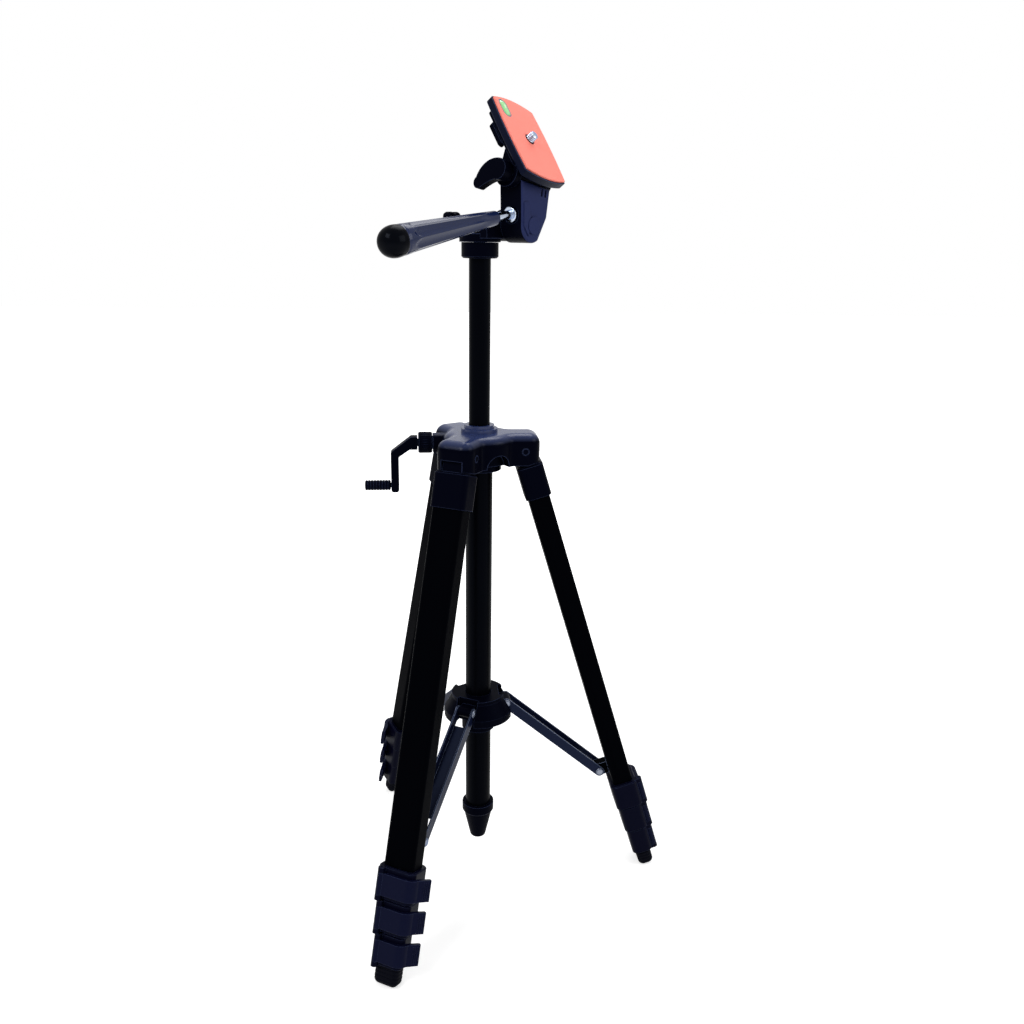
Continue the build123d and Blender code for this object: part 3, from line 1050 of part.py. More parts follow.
with BuildPart() as camera_plate:
    extrude(plate_outline(centred_plate_plane(plate_bottom), 0), amount=PLATE_TOP - plate_bottom)
    fillet(camera_plate.edges().filter_by(Axis((0, 0, 0), PLATE_NORMAL)), PLATE_CORNER)
    fillet(camera_plate.faces().sort_by(Axis((0, 0, 0), PLATE_NORMAL))[0].edges(), PLATE_EDGE)
    with BuildSketch(centred_plate_plane(plate_bottom)):
        Circle(SCREW_HEAD_RADIUS + 0.3)
    extrude(amount=SCREW_HEAD_HEIGHT + 0.6, mode=Mode.SUBTRACT)
    with BuildSketch(centred_plate_plane(plate_bottom)):
        Circle(SCREW_RADIUS + PIN_GAP)
    extrude(amount=PLATE_TOP, mode=Mode.SUBTRACT)
    with BuildSketch(plate_plane(PLATE_TOP - VIAL_RADIUS - 0.4)):
        with Locations((vial_x, vial_y)):
            SlotOverall(VIAL_LENGTH + 0.4, 2 * VIAL_RADIUS + 0.4, rotation=90)
    extrude(amount=PLATE_TOP, mode=Mode.SUBTRACT)
write(camera_plate.part, "camera_plate")

with BuildPart() as plate_pad:
    extrude(plate_outline(centred_plate_plane(PLATE_TOP), PAD_INSET), amount=PAD_THICKNESS)
    with BuildSketch(centred_plate_plane(PLATE_TOP)):
        Circle(SCREW_RADIUS + 1)
    extrude(amount=PAD_THICKNESS, mode=Mode.SUBTRACT)
    with BuildSketch(plate_plane(PLATE_TOP)):
        with Locations((vial_x, vial_y)):
            SlotOverall(VIAL_LENGTH + 2 * VIAL_FRAME, 2 * VIAL_RADIUS + 2 * VIAL_FRAME, rotation=90)
    extrude(amount=PAD_THICKNESS, mode=Mode.SUBTRACT)
write(plate_pad.part, "plate_pad")

thread_start = PLATE_TOP + PAD_THICKNESS + PLATE_GAP
with BuildPart() as camera_screw:
    with BuildSketch(centred_plate_plane(plate_bottom + 0.1)):
        Circle(SCREW_HEAD_RADIUS)
    extrude(amount=SCREW_HEAD_HEIGHT)
    with BuildSketch(centred_plate_plane(plate_bottom + 0.1)):
        Circle(SCREW_NECK_RADIUS)
    extrude(amount=thread_start - plate_bottom)
    with BuildSketch(centred_plate_plane(thread_start)):
        Circle(SCREW_RADIUS)
    extrude(amount=PLATE_TOP + PAD_THICKNESS + SCREW_STAND - thread_start)
    chamfer(camera_screw.faces().sort_by(Axis((0, 0, 0), PLATE_NORMAL))[-1].edges(), 0.6)
write(camera_screw.part, "camera_screw")

with BuildPart() as bubble_level:
    with BuildSketch(plate_plane(PLATE_TOP - VIAL_RADIUS - 0.4)):
        with Locations((vial_x, vial_y)):
            SlotOverall(VIAL_LENGTH, 2 * VIAL_RADIUS, rotation=90)
    extrude(amount=VIAL_RADIUS + 0.4 + PAD_THICKNESS + 0.3)
    fillet(bubble_level.edges().group_by(Axis((0, 0, 0), PLATE_NORMAL))[-1], 1.2)
write(bubble_level.part, "bubble_level")
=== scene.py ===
"""A compact four-section tripod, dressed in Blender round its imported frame.

Everything is in metres in the row frame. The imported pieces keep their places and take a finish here,
and pieces whose surface needs more than the frame gives are worked out below and stand for them.
"""

import json

import bmesh
import bpy
import numpy as np
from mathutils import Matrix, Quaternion, Vector


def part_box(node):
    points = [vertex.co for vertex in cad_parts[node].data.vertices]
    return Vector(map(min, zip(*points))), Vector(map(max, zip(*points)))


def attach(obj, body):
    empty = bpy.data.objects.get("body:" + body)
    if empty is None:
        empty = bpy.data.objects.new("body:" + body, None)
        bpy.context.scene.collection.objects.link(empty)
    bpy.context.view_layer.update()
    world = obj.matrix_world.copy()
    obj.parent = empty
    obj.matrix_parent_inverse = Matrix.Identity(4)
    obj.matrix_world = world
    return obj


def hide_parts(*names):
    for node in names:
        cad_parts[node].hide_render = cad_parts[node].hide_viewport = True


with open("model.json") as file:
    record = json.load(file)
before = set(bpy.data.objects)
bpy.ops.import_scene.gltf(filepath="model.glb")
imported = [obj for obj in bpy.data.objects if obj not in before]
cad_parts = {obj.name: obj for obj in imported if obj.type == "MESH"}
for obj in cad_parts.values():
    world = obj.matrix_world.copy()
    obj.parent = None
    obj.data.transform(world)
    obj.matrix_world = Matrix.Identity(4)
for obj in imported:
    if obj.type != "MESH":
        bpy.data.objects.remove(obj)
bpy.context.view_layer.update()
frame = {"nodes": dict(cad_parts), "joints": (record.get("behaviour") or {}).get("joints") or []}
joints = {joint["name"]: joint for joint in frame["joints"]}

# ---------------------------------------------------------------- guide tube and column
# The slim tube under the crown and the column that slides in it are drawn aluminium, anodised black.
# Drawing leaves fine lines along the tube and handling leaves dull patches, and a painted highlight lightens
# the edges.
DRAWN_BLACK = (0.0006, 0.0007, 0.0014)
# Painted highlight: the light colour mixed into the edges of drawn metal.
ANODISED_EDGE_HIGHLIGHT = (0.19, 0.24, 0.38)
COOL_SHINE = (0.52, 0.66, 1.0)  # tint of every finish's highlights
DRAWN_EDGE_RADIUS = 0.0007
LINE_DEPTH = 0.00003
LINE_ROUGHNESS = 0.08  # added where a draw line stands up
HANDLED_DULLER, HANDLED_BRIGHTER = 0.08, 0.06  # how far handling moves the roughness each way
NOISE_MIDDLE = (0.3, 0.7)  # between these lie most of a noise's values


def new_group(name, inputs, outputs):
    """An empty shader node group with its named inputs (kind, default) and outputs (kind)."""
    group = bpy.data.node_groups.new(name, "ShaderNodeTree")
    for label, (kind, default) in inputs.items():
        socket = group.interface.new_socket(label, in_out="INPUT", socket_type=kind)
        if default is not None:
            socket.default_value = default
    for label, kind in outputs.items():
        group.interface.new_socket(label, in_out="OUTPUT", socket_type=kind)
    return group, group.nodes.new("NodeGroupInput"), group.nodes.new("NodeGroupOutput")


def add_node(tree, kind, links=(), **settings):
    """One node in a tree, its properties set, and its inputs linked or given values by name or number."""
    node = tree.nodes.new(kind)
    for key, value in settings.items():
        setattr(node, key, value)
    for socket, value in dict(links).items():
        if isinstance(value, bpy.types.NodeSocket):
            tree.links.new(value, node.inputs[socket])
        else:
            node.inputs[socket].default_value = value
    return node


def spread(tree, value, start, stop, low=0.0, high=1.0):
    """A value as a straight ramp: low at start and before it, high at stop and past it."""
    ramp = add_node(tree, "ShaderNodeMapRange", {0: value, 1: start, 2: stop, 3: low, 4: high})
    return ramp.outputs[0]


def soft_edges_group():
    """Rounded-over edges: the normal eased round each corner, and a mask of how far it is turned.
    The mask is the dot product of the eased and the true normal, ramped from flat to full edge."""
    flat, full_edge = 0.995, 0.86
    inputs = {"Radius": ("NodeSocketFloat", 0.0005)}
    outputs = {"Normal": "NodeSocketVector", "Edge": "NodeSocketFloat"}
    group, given, result = new_group("soft_edges", inputs, outputs)
    rounded = add_node(group, "ShaderNodeBevel", {"Radius": given.outputs["Radius"]}, samples=6)
    true = add_node(group, "ShaderNodeNewGeometry")
    normals = {0: rounded.outputs[0], 1: true.outputs["Normal"]}
    agree = add_node(group, "ShaderNodeVectorMath", normals, operation="DOT_PRODUCT")
    edge = spread(group, agree.outputs["Value"], flat, full_edge)
    group.links.new(rounded.outputs[0], result.inputs["Normal"])
    group.links.new(edge, result.inputs["Edge"])
    return group


def draw_lines_group():
    """Fine lines along local Z: noise stretched along the length, plus broad dull patches."""
    stretch = (1, 1, 0.012)
    floats = {"Fineness": ("NodeSocketFloat", 900.0), "Patches": ("NodeSocketFloat", 30.0)}
    inputs = {"Vector": ("NodeSocketVector", None), **floats}
    outputs = {"Lines": "NodeSocketFloat", "Dullness": "NodeSocketFloat"}
    group, given, result = new_group("draw_lines", inputs, outputs)
    scaled = {0: given.outputs["Vector"], 1: stretch}
    stretched = add_node(group, "ShaderNodeVectorMath", scaled, operation="MULTIPLY")
    fine = {"Vector": stretched.outputs[0], "Scale": given.outputs["Fineness"], "Detail": 3.0}
    lines = add_node(group, "ShaderNodeTexNoise", fine)
    broad = {"Vector": given.outputs["Vector"], "Scale": given.outputs["Patches"], "Detail": 5.0}
    patches = add_node(group, "ShaderNodeTexNoise", {**broad, "Roughness": 0.6})
    group.links.new(lines.outputs["Fac"], result.inputs["Lines"])
    group.links.new(patches.outputs["Fac"], result.inputs["Dullness"])
    return group


def past_plane_group():
    """How far a point lies past a plane: its distance along a direction, as 0 at Near to 1 at Far."""
    floats = {"Near": ("NodeSocketFloat", 0.0), "Far": ("NodeSocketFloat", 0.001)}
    inputs = {"Vector": ("NodeSocketVector", None), "Direction": ("NodeSocketVector", (0, 0, 1)), **floats}
    group, given, result = new_group("past_plane", inputs, {"Mask": "NodeSocketFloat"})
    factors = {0: given.outputs["Vector"], 1: given.outputs["Direction"]}
    along = add_node(group, "ShaderNodeVectorMath", factors, operation="DOT_PRODUCT")
    mask = spread(group, along.outputs["Value"], given.outputs["Near"], given.outputs["Far"])
    group.links.new(mask, result.inputs["Mask"])
    return group


soft_edges = soft_edges_group()
draw_lines = draw_lines_group()
past_plane = past_plane_group()


def new_finish(name, colour, roughness, metallic=0.0, specular=0.5, coat=0.0, edge=None, radius=0.0005):
    """A Principled material with cool highlights and eased edges, and a painted highlight colour on its edges
    if it has one.
    Returns the material, its tree, its shader, its object coordinates and the eased normal."""
    material = bpy.data.materials.new(name)
    material.use_nodes = True
    tree = material.node_tree
    shader = tree.nodes["Principled BSDF"]
    shader.inputs["Base Color"].default_value = (*colour, 1)
    shader.inputs["Roughness"].default_value = roughness
    shader.inputs["Metallic"].default_value = metallic
    shader.inputs["Specular IOR Level"].default_value = specular
    shader.inputs["Specular Tint"].default_value = (*COOL_SHINE, 1)
    shader.inputs["Coat Weight"].default_value = coat
    shader.inputs["Coat Roughness"].default_value = roughness
    place = add_node(tree, "ShaderNodeTexCoord")
    eased = add_node(tree, "ShaderNodeGroup", node_tree=soft_edges)
    eased.inputs["Radius"].default_value = radius
    tree.links.new(eased.outputs["Normal"], shader.inputs["Normal"])
    # Painted highlight: the edge colour is mixed into the base where the eased normal turns.
    if edge:
        rubbed = add_node(
            tree,
            "ShaderNodeMix",
            {"Factor": eased.outputs["Edge"], "A": (*colour, 1), "B": (*edge, 1)},
            data_type="RGBA",
        )
        tree.links.new(rubbed.outputs["Result"], shader.inputs["Base Color"])
    return material, tree, shader, place.outputs["Object"], eased.outputs["Normal"]


def drawn_metal(name, turn=(0, 0, 0), roughness=0.36, colour=DRAWN_BLACK, specular=0.005, edge=ANODISED_EDGE_HIGHLIGHT):
    """Drawn metal, black anodised unless a colour is given, with its draw lines along the piece.
    Turn is the rotation that stands the piece upright."""
    look = {"specular": specular, "edge": edge, "radius": DRAWN_EDGE_RADIUS}
    material, tree, shader, place, eased = new_finish(name, colour, roughness, **look)
    upright = add_node(tree, "ShaderNodeMapping", {"Vector": place, "Rotation": turn})
    texture = add_node(tree, "ShaderNodeGroup", {"Vector": upright.outputs[0]}, node_tree=draw_lines)
    lines, dullness = texture.outputs["Lines"], texture.outputs["Dullness"]
    wear = spread(tree, dullness, *NOISE_MIDDLE, roughness - HANDLED_BRIGHTER, roughness + HANDLED_DULLER)
    fine = add_node(tree, "ShaderNodeMath", {0: lines, 1: LINE_ROUGHNESS, 2: wear}, operation="MULTIPLY_ADD")
    tree.links.new(fine.outputs[0], shader.inputs["Roughness"])
    relief = {"Height": lines, "Distance": LINE_DEPTH, "Strength": 0.4, "Normal": eased}
    bump = add_node(tree, "ShaderNodeBump", relief)
    tree.links.new(bump.outputs[0], shader.inputs["Normal"])
    return material


def dress(finish, *nodes):
    """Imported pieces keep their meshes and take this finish."""
    for name in nodes:
        piece = frame["nodes"][name]
        piece.data.materials.clear()
        piece.data.materials.append(finish)


def painted_light_tone(material, direction, near, far, colour, coat):
    """Painted light: a second colour and coat on the part of a piece past a plane, blended from near to far.
    """
    tree = material.node_tree
    shader = tree.nodes["Principled BSDF"]
    place = tree.nodes["Texture Coordinate"].outputs["Object"]
    settings = {"Vector": place, "Direction": tuple(direction), "Near": near, "Far": far}
    past = add_node(tree, "ShaderNodeGroup", settings, node_tree=past_plane).outputs["Mask"]
    base, lacquer = shader.inputs["Base Color"], shader.inputs["Coat Weight"]
    first = base.links[0].from_socket if base.is_linked else tuple(base.default_value)
    blend = add_node(tree, "ShaderNodeMix", {"Factor": past, "A": first, "B": (*colour, 1)}, data_type="RGBA")
    tree.links.new(blend.outputs["Result"], base)
    tree.links.new(spread(tree, past, 0.0, 1.0, lacquer.default_value, coat), lacquer)


column_finish = drawn_metal("column_anodised", roughness=0.3, specular=0.02)
dress(column_finish, "guide_tube", "column_tube")

# ---------------------------------------------------------------- crown, hub and head mouldings
# Crown, hub, end cap, crank and the head's black parts are glass-filled nylon, moulded in a
# spark-eroded tool that leaves a fine even grain, rubbed a little smoother where hands go.
# The crown's sides are black like the rest, and its top is glossier, with a painted highlight in slate.
MOULDED_BLACK = (0.0008, 0.001, 0.004)
# Painted highlight: the light colour mixed into moulded edges.
MOULDED_EDGE_HIGHLIGHT = (0.03, 0.04, 0.09)
GRAIN_SIZE = 0.00045
GRAIN_DEPTH = 0.00005
RUBBED_SMOOTHER, UNRUBBED_ROUGHER = 0.07, 0.05  # how far rubbing moves the roughness each way
CROWN_SHOULDER = (0.3855, 0.3905)  # heights between which the crown's side tone gives way to its top
# Painted highlight: the slate that the crown's top takes above its shoulder.
CROWN_TOP_HIGHLIGHT = (0.018, 0.03, 0.1)


def mould_grain_group():
    """Spark-eroded grain: fine noise for its height, with a slow mask of where it is rubbed smooth."""
    inputs = {"Vector": ("NodeSocketVector", None), "Grain": ("NodeSocketFloat", GRAIN_SIZE)}
    outputs = {"Height": "NodeSocketFloat", "Rubbed": "NodeSocketFloat"}
    group, given, result = new_group("mould_grain", inputs, outputs)
    scale = add_node(group, "ShaderNodeMath", {0: 1.0, 1: given.outputs["Grain"]}, operation="DIVIDE")
    coarse = add_node(
        group,
        "ShaderNodeTexNoise",
        {"Vector": given.outputs["Vector"], "Scale": scale.outputs[0], "Detail": 2.0, "Roughness": 0.55},
    )
    rubbed = add_node(
        group,
        "ShaderNodeTexNoise",
        {"Vector": given.outputs["Vector"], "Scale": 55.0, "Detail": 4.0, "Roughness": 0.6},
    )
    group.links.new(coarse.outputs["Fac"], result.inputs["Height"])
    group.links.new(rubbed.outputs["Fac"], result.inputs["Rubbed"])
    return group


mould_grain = mould_grain_group()


def moulded(
    name, colour=MOULDED_BLACK, roughness=0.4, depth=GRAIN_DEPTH, grain=GRAIN_SIZE, edge=MOULDED_EDGE_HIGHLIGHT, **shine
):
    """Moulded plastic with grain of one depth and size, and roughness that varies where it is rubbed."""
    material, tree, shader, place, eased = new_finish(name, colour, roughness, edge=edge, **shine)
    texture = add_node(tree, "ShaderNodeGroup", {"Vector": place, "Grain": grain}, node_tree=mould_grain)
    rough, smooth = roughness + UNRUBBED_ROUGHER, roughness - RUBBED_SMOOTHER
    rubbing = spread(tree, texture.outputs["Rubbed"], *NOISE_MIDDLE, rough, smooth)
    tree.links.new(rubbing, shader.inputs["Roughness"])
    relief = {"Height": texture.outputs["Height"], "Distance": depth, "Strength": 0.6, "Normal": eased}
    bump = add_node(tree, "ShaderNodeBump", relief)
    tree.links.new(bump.outputs[0], shader.inputs["Normal"])
    return material


crown_nylon = moulded("crown_nylon", roughness=0.26, specular=0.01, radius=0.0011)
painted_light_tone(crown_nylon, (0, 0, 1), *CROWN_SHOULDER, CROWN_TOP_HIGHLIGHT, coat=0.6)
dress(crown_nylon, "crown")
moulded_black = moulded("moulded_black", specular=0.012, radius=0.0007)
dress(moulded_black, "tube_end_cap", "brace_hub", "head_socket", "pan_body", "flip_platform", "release_lever")
dress(moulded_black, "crank", "flip_wing_knob")

# ---------------------------------------------------------------- legs
# Each leg is four drawn tubes, one in the next, with moulded clamps and levers and a rubber foot,
# and a painted strut braces it from the hub. The draw lines follow the leg, so each leg turns its
# own pattern by its splay and azimuth.
SPLAY = np.radians(17.06)
LEG_AZIMUTHS = np.radians((243.6, 3.6, 123.6))
CLAMP_BLACK = (0.0016, 0.0016, 0.008)
LEVER_BLACK = (0.003, 0.0035, 0.017)
STRUT_SLATE = (0.004, 0.0065, 0.023)
FINE_GRAIN_DEPTH = 0.00002
clamp_nylon = moulded("clamp_nylon", CLAMP_BLACK, roughness=0.34, specular=0.03)
lever_nylon = moulded("lever_nylon", LEVER_BLACK, roughness=0.28, depth=FINE_GRAIN_DEPTH, specular=0.05)
strut_paint = drawn_metal("strut_paint", roughness=0.3, colour=STRUT_SLATE, specular=0.12)

for number, azimuth in enumerate(LEG_AZIMUTHS, 1):
    leg_metal = drawn_metal(f"leg_{number}_anodised", turn=(0, float(SPLAY), float(-azimuth)))
    dress(leg_metal, *(f"leg_{number}_tube_{section}" for section in (1, 2, 3, 4)))
    dress(moulded_black, f"leg_{number}_knuckle")
    dress(clamp_nylon, *(f"leg_{number}_clamp_{lock}" for lock in (1, 2, 3)))
    dress(lever_nylon, *(f"leg_{number}_lever_{lock}" for lock in (1, 2, 3)))
    dress(strut_paint, f"leg_{number}_strut")

# ---------------------------------------------------------------- leg details
# Each foot is a rubber shoe grooved for grip, and the lever tips carry raised finger ribs. The legs
# hang in the crown on pins with moulded caps, and plated rivets hold both ends of each strut.
MM = 0.001  # where a size below is named without it, it is in millimetres and takes it in use
UP = np.array([0.0, 0.0, 1.0])
AXIS = np.array([-30.7, 3.7, 0.0]) * MM  # where the column's middle line meets the floor
APEX = AXIS + UP * (490 * MM)  # where the legs' middle lines meet
# Distances down the leg from the apex, and the lug's offset inwards from the leg's middle line.
KNUCKLE_PIVOT = 117.2 * MM
FOOT_TOP, FOOT_END = 497.0 * MM, 511.7 * MM
LUG_DISTANCE, LUG_OFFSET = 408.0 * MM, 16.5 * MM
LEVER_TOPS = (426.6 * MM, 451.4 * MM, 476.2 * MM)
# Sizes of the shoe, the pin caps and rivets, the clamps and levers, and the ribs.
FOOT_HALF = (6.6 * MM, 10.0 * MM)
FOOT_ROUNDING = 4.6 * MM
TREAD_PITCH, TREAD_DEPTH = 2.9 * MM, 0.55 * MM
ARM_HALF, CAP_RADIUS, CAP_HEIGHT = 15.0 * MM, 2.4 * MM, 0.5 * MM
STRUT_HALF, RIVET_RADIUS, RIVET_HEIGHT = 7.5 * MM, 3.4 * MM, 1.5 * MM
SECTION_WIDTHS = (25.0 * MM, 22.0 * MM, 19.0 * MM)
SECTION_DEPTHS = (17.0 * MM, 14.4 * MM, 11.8 * MM)
CLAMP_WALL, LEVER_INSET = 3 * MM, 5 * MM
LEVER_LENGTH = 16 * MM
LEVER_TIP, LEVER_ROOT = np.array([-5.5, 14.7]) * MM, np.array([2.0, 8.2]) * MM  # outward and sideways
RIB_RADIUS, RIB_MARGIN = 0.42 * MM, 1.4 * MM
RIB_COUNT, FIRST_RIB, RIB_PITCH = 4, 1.1, 1.5
RUBBER_BLACK = (0.002, 0.002, 0.004)
STEEL_GREY = (0.2, 0.22, 0.27)


def pivot(name):
    """Place and direction of a joint, in metres in the row frame."""
    joint = joints[name]
    return np.array(joint.get("pos_m", (0, 0, 0)), float), np.array(joint["axis"], float)


def surface(name, grids, finish, body, looped=False, crease=35):
    """Skins over grids of points: rows run along each piece and every row closes on itself.
    A looped piece joins its last row to its first, and any other is closed by a flat face at each end."""
    points, faces, used = [], [], 0
    for rows in grids:
        count, around, _ = rows.shape
        row = np.arange(count if looped else count - 1)[:, None]
        column = np.arange(around)[None, :]
        beside = (column + 1) % around
        this_row, next_row = row * around, (row + 1) % count * around
        corners = [this_row + column, this_row + beside, next_row + beside, next_row + column]
        faces += (np.stack(corners, -1).reshape(-1, 4) + used).tolist()
        if not looped:
            faces.append(list(range(used, used + around))[::-1])
            faces.append(list(range(used + (count - 1) * around, used + count * around)))
        points.append(rows.reshape(-1, 3))
        used += count * around
    mesh = bpy.data.meshes.new(name)
    mesh.from_pydata(np.concatenate(points).tolist(), [], faces)
    shell = bmesh.new()
    shell.from_mesh(mesh)
    bmesh.ops.recalc_face_normals(shell, faces=shell.faces[:])
    shell.to_mesh(mesh)
    shell.free()
    mesh.shade_smooth()
    mesh.set_sharp_from_angle(angle=np.radians(crease))
    mesh.materials.append(finish)
    piece = bpy.data.objects.new(name, mesh)
    bpy.context.scene.collection.objects.link(piece)
    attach(piece, body)
    return piece


def turned(centre, along, distance, radius, count=48):
    """Points about an axis: at each distance along it a ring, as the middle plus the radius times
    spokes at even angles. A ring has one radius, or one radius per angle."""
    angles = np.linspace(0, 2 * np.pi, count, endpoint=False)
    level = np.cross(along, (0.0, 0.0, 1.0) if abs(along[2]) < 0.9 else (1.0, 0.0, 0.0))
    level = level / np.linalg.norm(level)
    spokes = np.cos(angles)[:, None] * level + np.sin(angles)[:, None] * np.cross(along, level)
    radius = np.broadcast_to(np.reshape(radius, (len(distance), -1)), (len(distance), count))
    return centre + np.asarray(distance)[:, None, None] * along + radius[..., None] * spokes


def dome(centre, along, radius, height):
    """Rounded rivet head: a quarter ellipse turned about its axis, stopped just short of its tip."""
    rise = np.linspace(0, np.pi / 2 * 0.97, 7)
    return turned(centre, along, height * np.sin(rise), radius * np.cos(rise), 28)


def pin_heads(middle, along, half, radius, height):
    """Both domed heads of a pin, each half a width out from its middle along the pin."""
    return [dome(middle + along * side * half, along * side, radius, height) for side in (-1, 1)]


def rounded_outline(half_depth, half_width, corner, samples=12):
    """Rectangle with quarter-circle corners, as points about its middle."""
    sweep = np.linspace(0, np.pi / 2, samples)
    corners = []
    for quarter, (sign_x, sign_y) in enumerate(((1, 1), (-1, 1), (-1, -1), (1, -1))):
        middle = np.array([sign_x * (half_depth - corner), sign_y * (half_width - corner)])
        bend = sweep + quarter * np.pi / 2
        corners.append(middle + corner * np.stack([np.cos(bend), np.sin(bend)], -1))
    return np.concatenate(corners)


rubber_look = {"roughness": 0.62, "depth": 0.0001, "grain": 0.0009, "specular": 0.04, "edge": None}
foot_rubber = moulded("foot_rubber", RUBBER_BLACK, **rubber_look)
plated_steel = drawn_metal("plated_steel", roughness=0.3, colour=STEEL_GREY, specular=0.5, edge=None)
plated_steel.node_tree.nodes["Principled BSDF"].inputs["Metallic"].default_value = 1.0

for number, azimuth in enumerate(LEG_AZIMUTHS, 1):
    radial = np.array([np.cos(azimuth), np.sin(azimuth), 0.0])
    side_way = np.array([-np.sin(azimuth), np.cos(azimuth), 0.0])
    down = radial * np.sin(SPLAY) - UP * np.cos(SPLAY)
    outward = radial * np.cos(SPLAY) + UP * np.sin(SPLAY)

    # The shoe: rounded rectangles down the leg, each drawn in by a squared cosine where a groove
    # runs, deepest midway between treads, and by a quarter circle at the bottom edge.
    bend = np.linspace(0, np.pi / 2 * 0.96, 9)[1:]
    side_stations = np.linspace(FOOT_TOP, FOOT_END - FOOT_ROUNDING, 41)
    treads = TREAD_DEPTH * np.maximum(0, -np.cos((side_stations - FOOT_TOP) / TREAD_PITCH * 2 * np.pi)) ** 2
    stations = np.concatenate([side_stations, FOOT_END - FOOT_ROUNDING * (1 - np.sin(bend))])
    inset = np.concatenate([treads, FOOT_ROUNDING * (1 - np.cos(bend))])
    rows = []
    for station, shrink in zip(stations, inset):
        corner = FOOT_ROUNDING - shrink * 0.98  # never quite sharp, so that no two points meet
        flat = rounded_outline(FOOT_HALF[0] - shrink, FOOT_HALF[1] - shrink, corner)
        rows.append(APEX + down * station + flat[:, :1] * outward + flat[:, 1:] * side_way)
    shoe_rows = [np.array(rows)]
    shoe = surface(f"leg_{number}_shoe", shoe_rows, foot_rubber, f"leg_{number}_section_4")
    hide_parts(f"leg_{number}_foot")

    # Pin caps on both sides of the crown's arm, and rivets at the strut's lug and at the hub.
    crown_pin = APEX + down * KNUCKLE_PIVOT
    caps = pin_heads(crown_pin, side_way, ARM_HALF, CAP_RADIUS, CAP_HEIGHT)
    surface(f"leg_{number}_pin_ends", caps, moulded_black, f"leg_{number}")
    lug_pin = APEX + down * LUG_DISTANCE - outward * LUG_OFFSET
    hub_pin = pivot(f"leg_{number}_strut_fold")[0]
    heads = pin_heads(lug_pin, side_way, STRUT_HALF, RIVET_RADIUS, RIVET_HEIGHT)
    heads += pin_heads(hub_pin, side_way, STRUT_HALF, RIVET_RADIUS, RIVET_HEIGHT)
    surface(f"leg_{number}_rivets", heads, plated_steel, f"leg_{number}_strut")

    # Finger ribs on each lever's flared tip: bars along the leg, sunk in the tip's face. Their radius is
    # scaled by the root of one less the eighth power of the place along the bar, so the ends are round.
    for lock, (top, width, depth) in enumerate(zip(LEVER_TOPS, SECTION_WIDTHS, SECTION_DEPTHS), 1):
        lever = f"leg_{number}_lever_{lock}"
        corner = np.array([depth / 2 + CLAMP_WALL - LEVER_INSET, width / 2 + CLAMP_WALL - LEVER_INSET])
        tip = corner + LEVER_TIP
        root = corner + LEVER_ROOT
        slope = (root - tip) / np.linalg.norm(root - tip)
        run = np.linspace(-1, 1, 15)
        radius = RIB_RADIUS * np.sqrt(1 - run**8 * 0.98)
        ribs = []
        for step in range(RIB_COUNT):
            spot = tip + slope * (FIRST_RIB + RIB_PITCH * step) * MM
            centre = APEX + down * (top + LEVER_LENGTH / 2) + outward * spot[0] + side_way * spot[1]
            ribs.append(turned(centre, down, run * (LEVER_LENGTH / 2 - RIB_MARGIN), radius, 12))
        surface(f"{lever}_ribs", ribs, lever_nylon, lever)

# ---------------------------------------------------------------- crank and column lock
# The crank's grip is a small ribbed nylon roller on the arm's pin, and the ring on the crown's boss,
# which clamps the shaft, is fluted for the fingers. Both are turned, with ribs or flutes in their radius.
ROLLER_START, ROLLER_LENGTH, ROLLER_RADIUS, ROLLER_ROUNDING = -9.5, 20, 4.0, 0.9
ROLLER_GROOVES, GROOVE_DEPTH = 9, 0.5
RING_BORE = 5.3
FLUTES, FLUTE_DEPTH = 26, 0.28

# The roller: a barrel less a squared cosine for each groove, rounded over 1 mm at both ends.
grip_middle, crank_out = pivot("crank_grip_spin")
run = np.linspace(0, 1, 121)
along = run * ROLLER_LENGTH
barrel = ROLLER_RADIUS - GROOVE_DEPTH * np.maximum(0, np.cos(run * ROLLER_GROOVES * 2 * np.pi)) ** 2
start_ease = np.sqrt(1 - np.clip(1 - along, 0, 1) ** 2)
end_ease = np.sqrt(1 - np.clip(along - (ROLLER_LENGTH - 1), 0, 1) ** 2)
radius = barrel - ROLLER_ROUNDING * (1 - start_ease * end_ease)
rows = turned(grip_middle, crank_out, (ROLLER_START + along) * MM, radius * MM)
roller = surface("crank_grip_ribbed", [rows], moulded_black, "crank_grip", crease=50)
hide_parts("crank_grip")

# The ring: its rim's radius less a cubed cosine for each flute, on the rows marked 1, and a plain bore.
ring_middle = pivot("lock_ring_turn")[0]
angles = np.linspace(0, 2 * np.pi, 160, endpoint=False)
fluting = FLUTE_DEPTH * (0.5 + 0.5 * np.cos(angles * FLUTES)) ** 3
rim_run = np.array([-4.6, -3.9, -3.0, 0.8, 4.6, 5.5, 6.2])
rim_radius = np.array([7.4, 8.1, 8.2, 8.2, 8.2, 8.1, 7.4])
rim_fluted = np.array([0, 0, 1, 1, 1, 0, 0])
fluted = rim_radius[:, None] - fluting[None, :] * rim_fluted[:, None]
bore = np.full((2, len(angles)), RING_BORE)
distance = np.concatenate([rim_run, [rim_run[-1], rim_run[0]]]) * MM
rows = turned(ring_middle, crank_out, distance, np.concatenate([fluted, bore]) * MM, len(angles))
lock_ring = surface("lock_ring_fluted", [rows], moulded_black, "lock_ring", looped=True)
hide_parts("column_lock_ring")

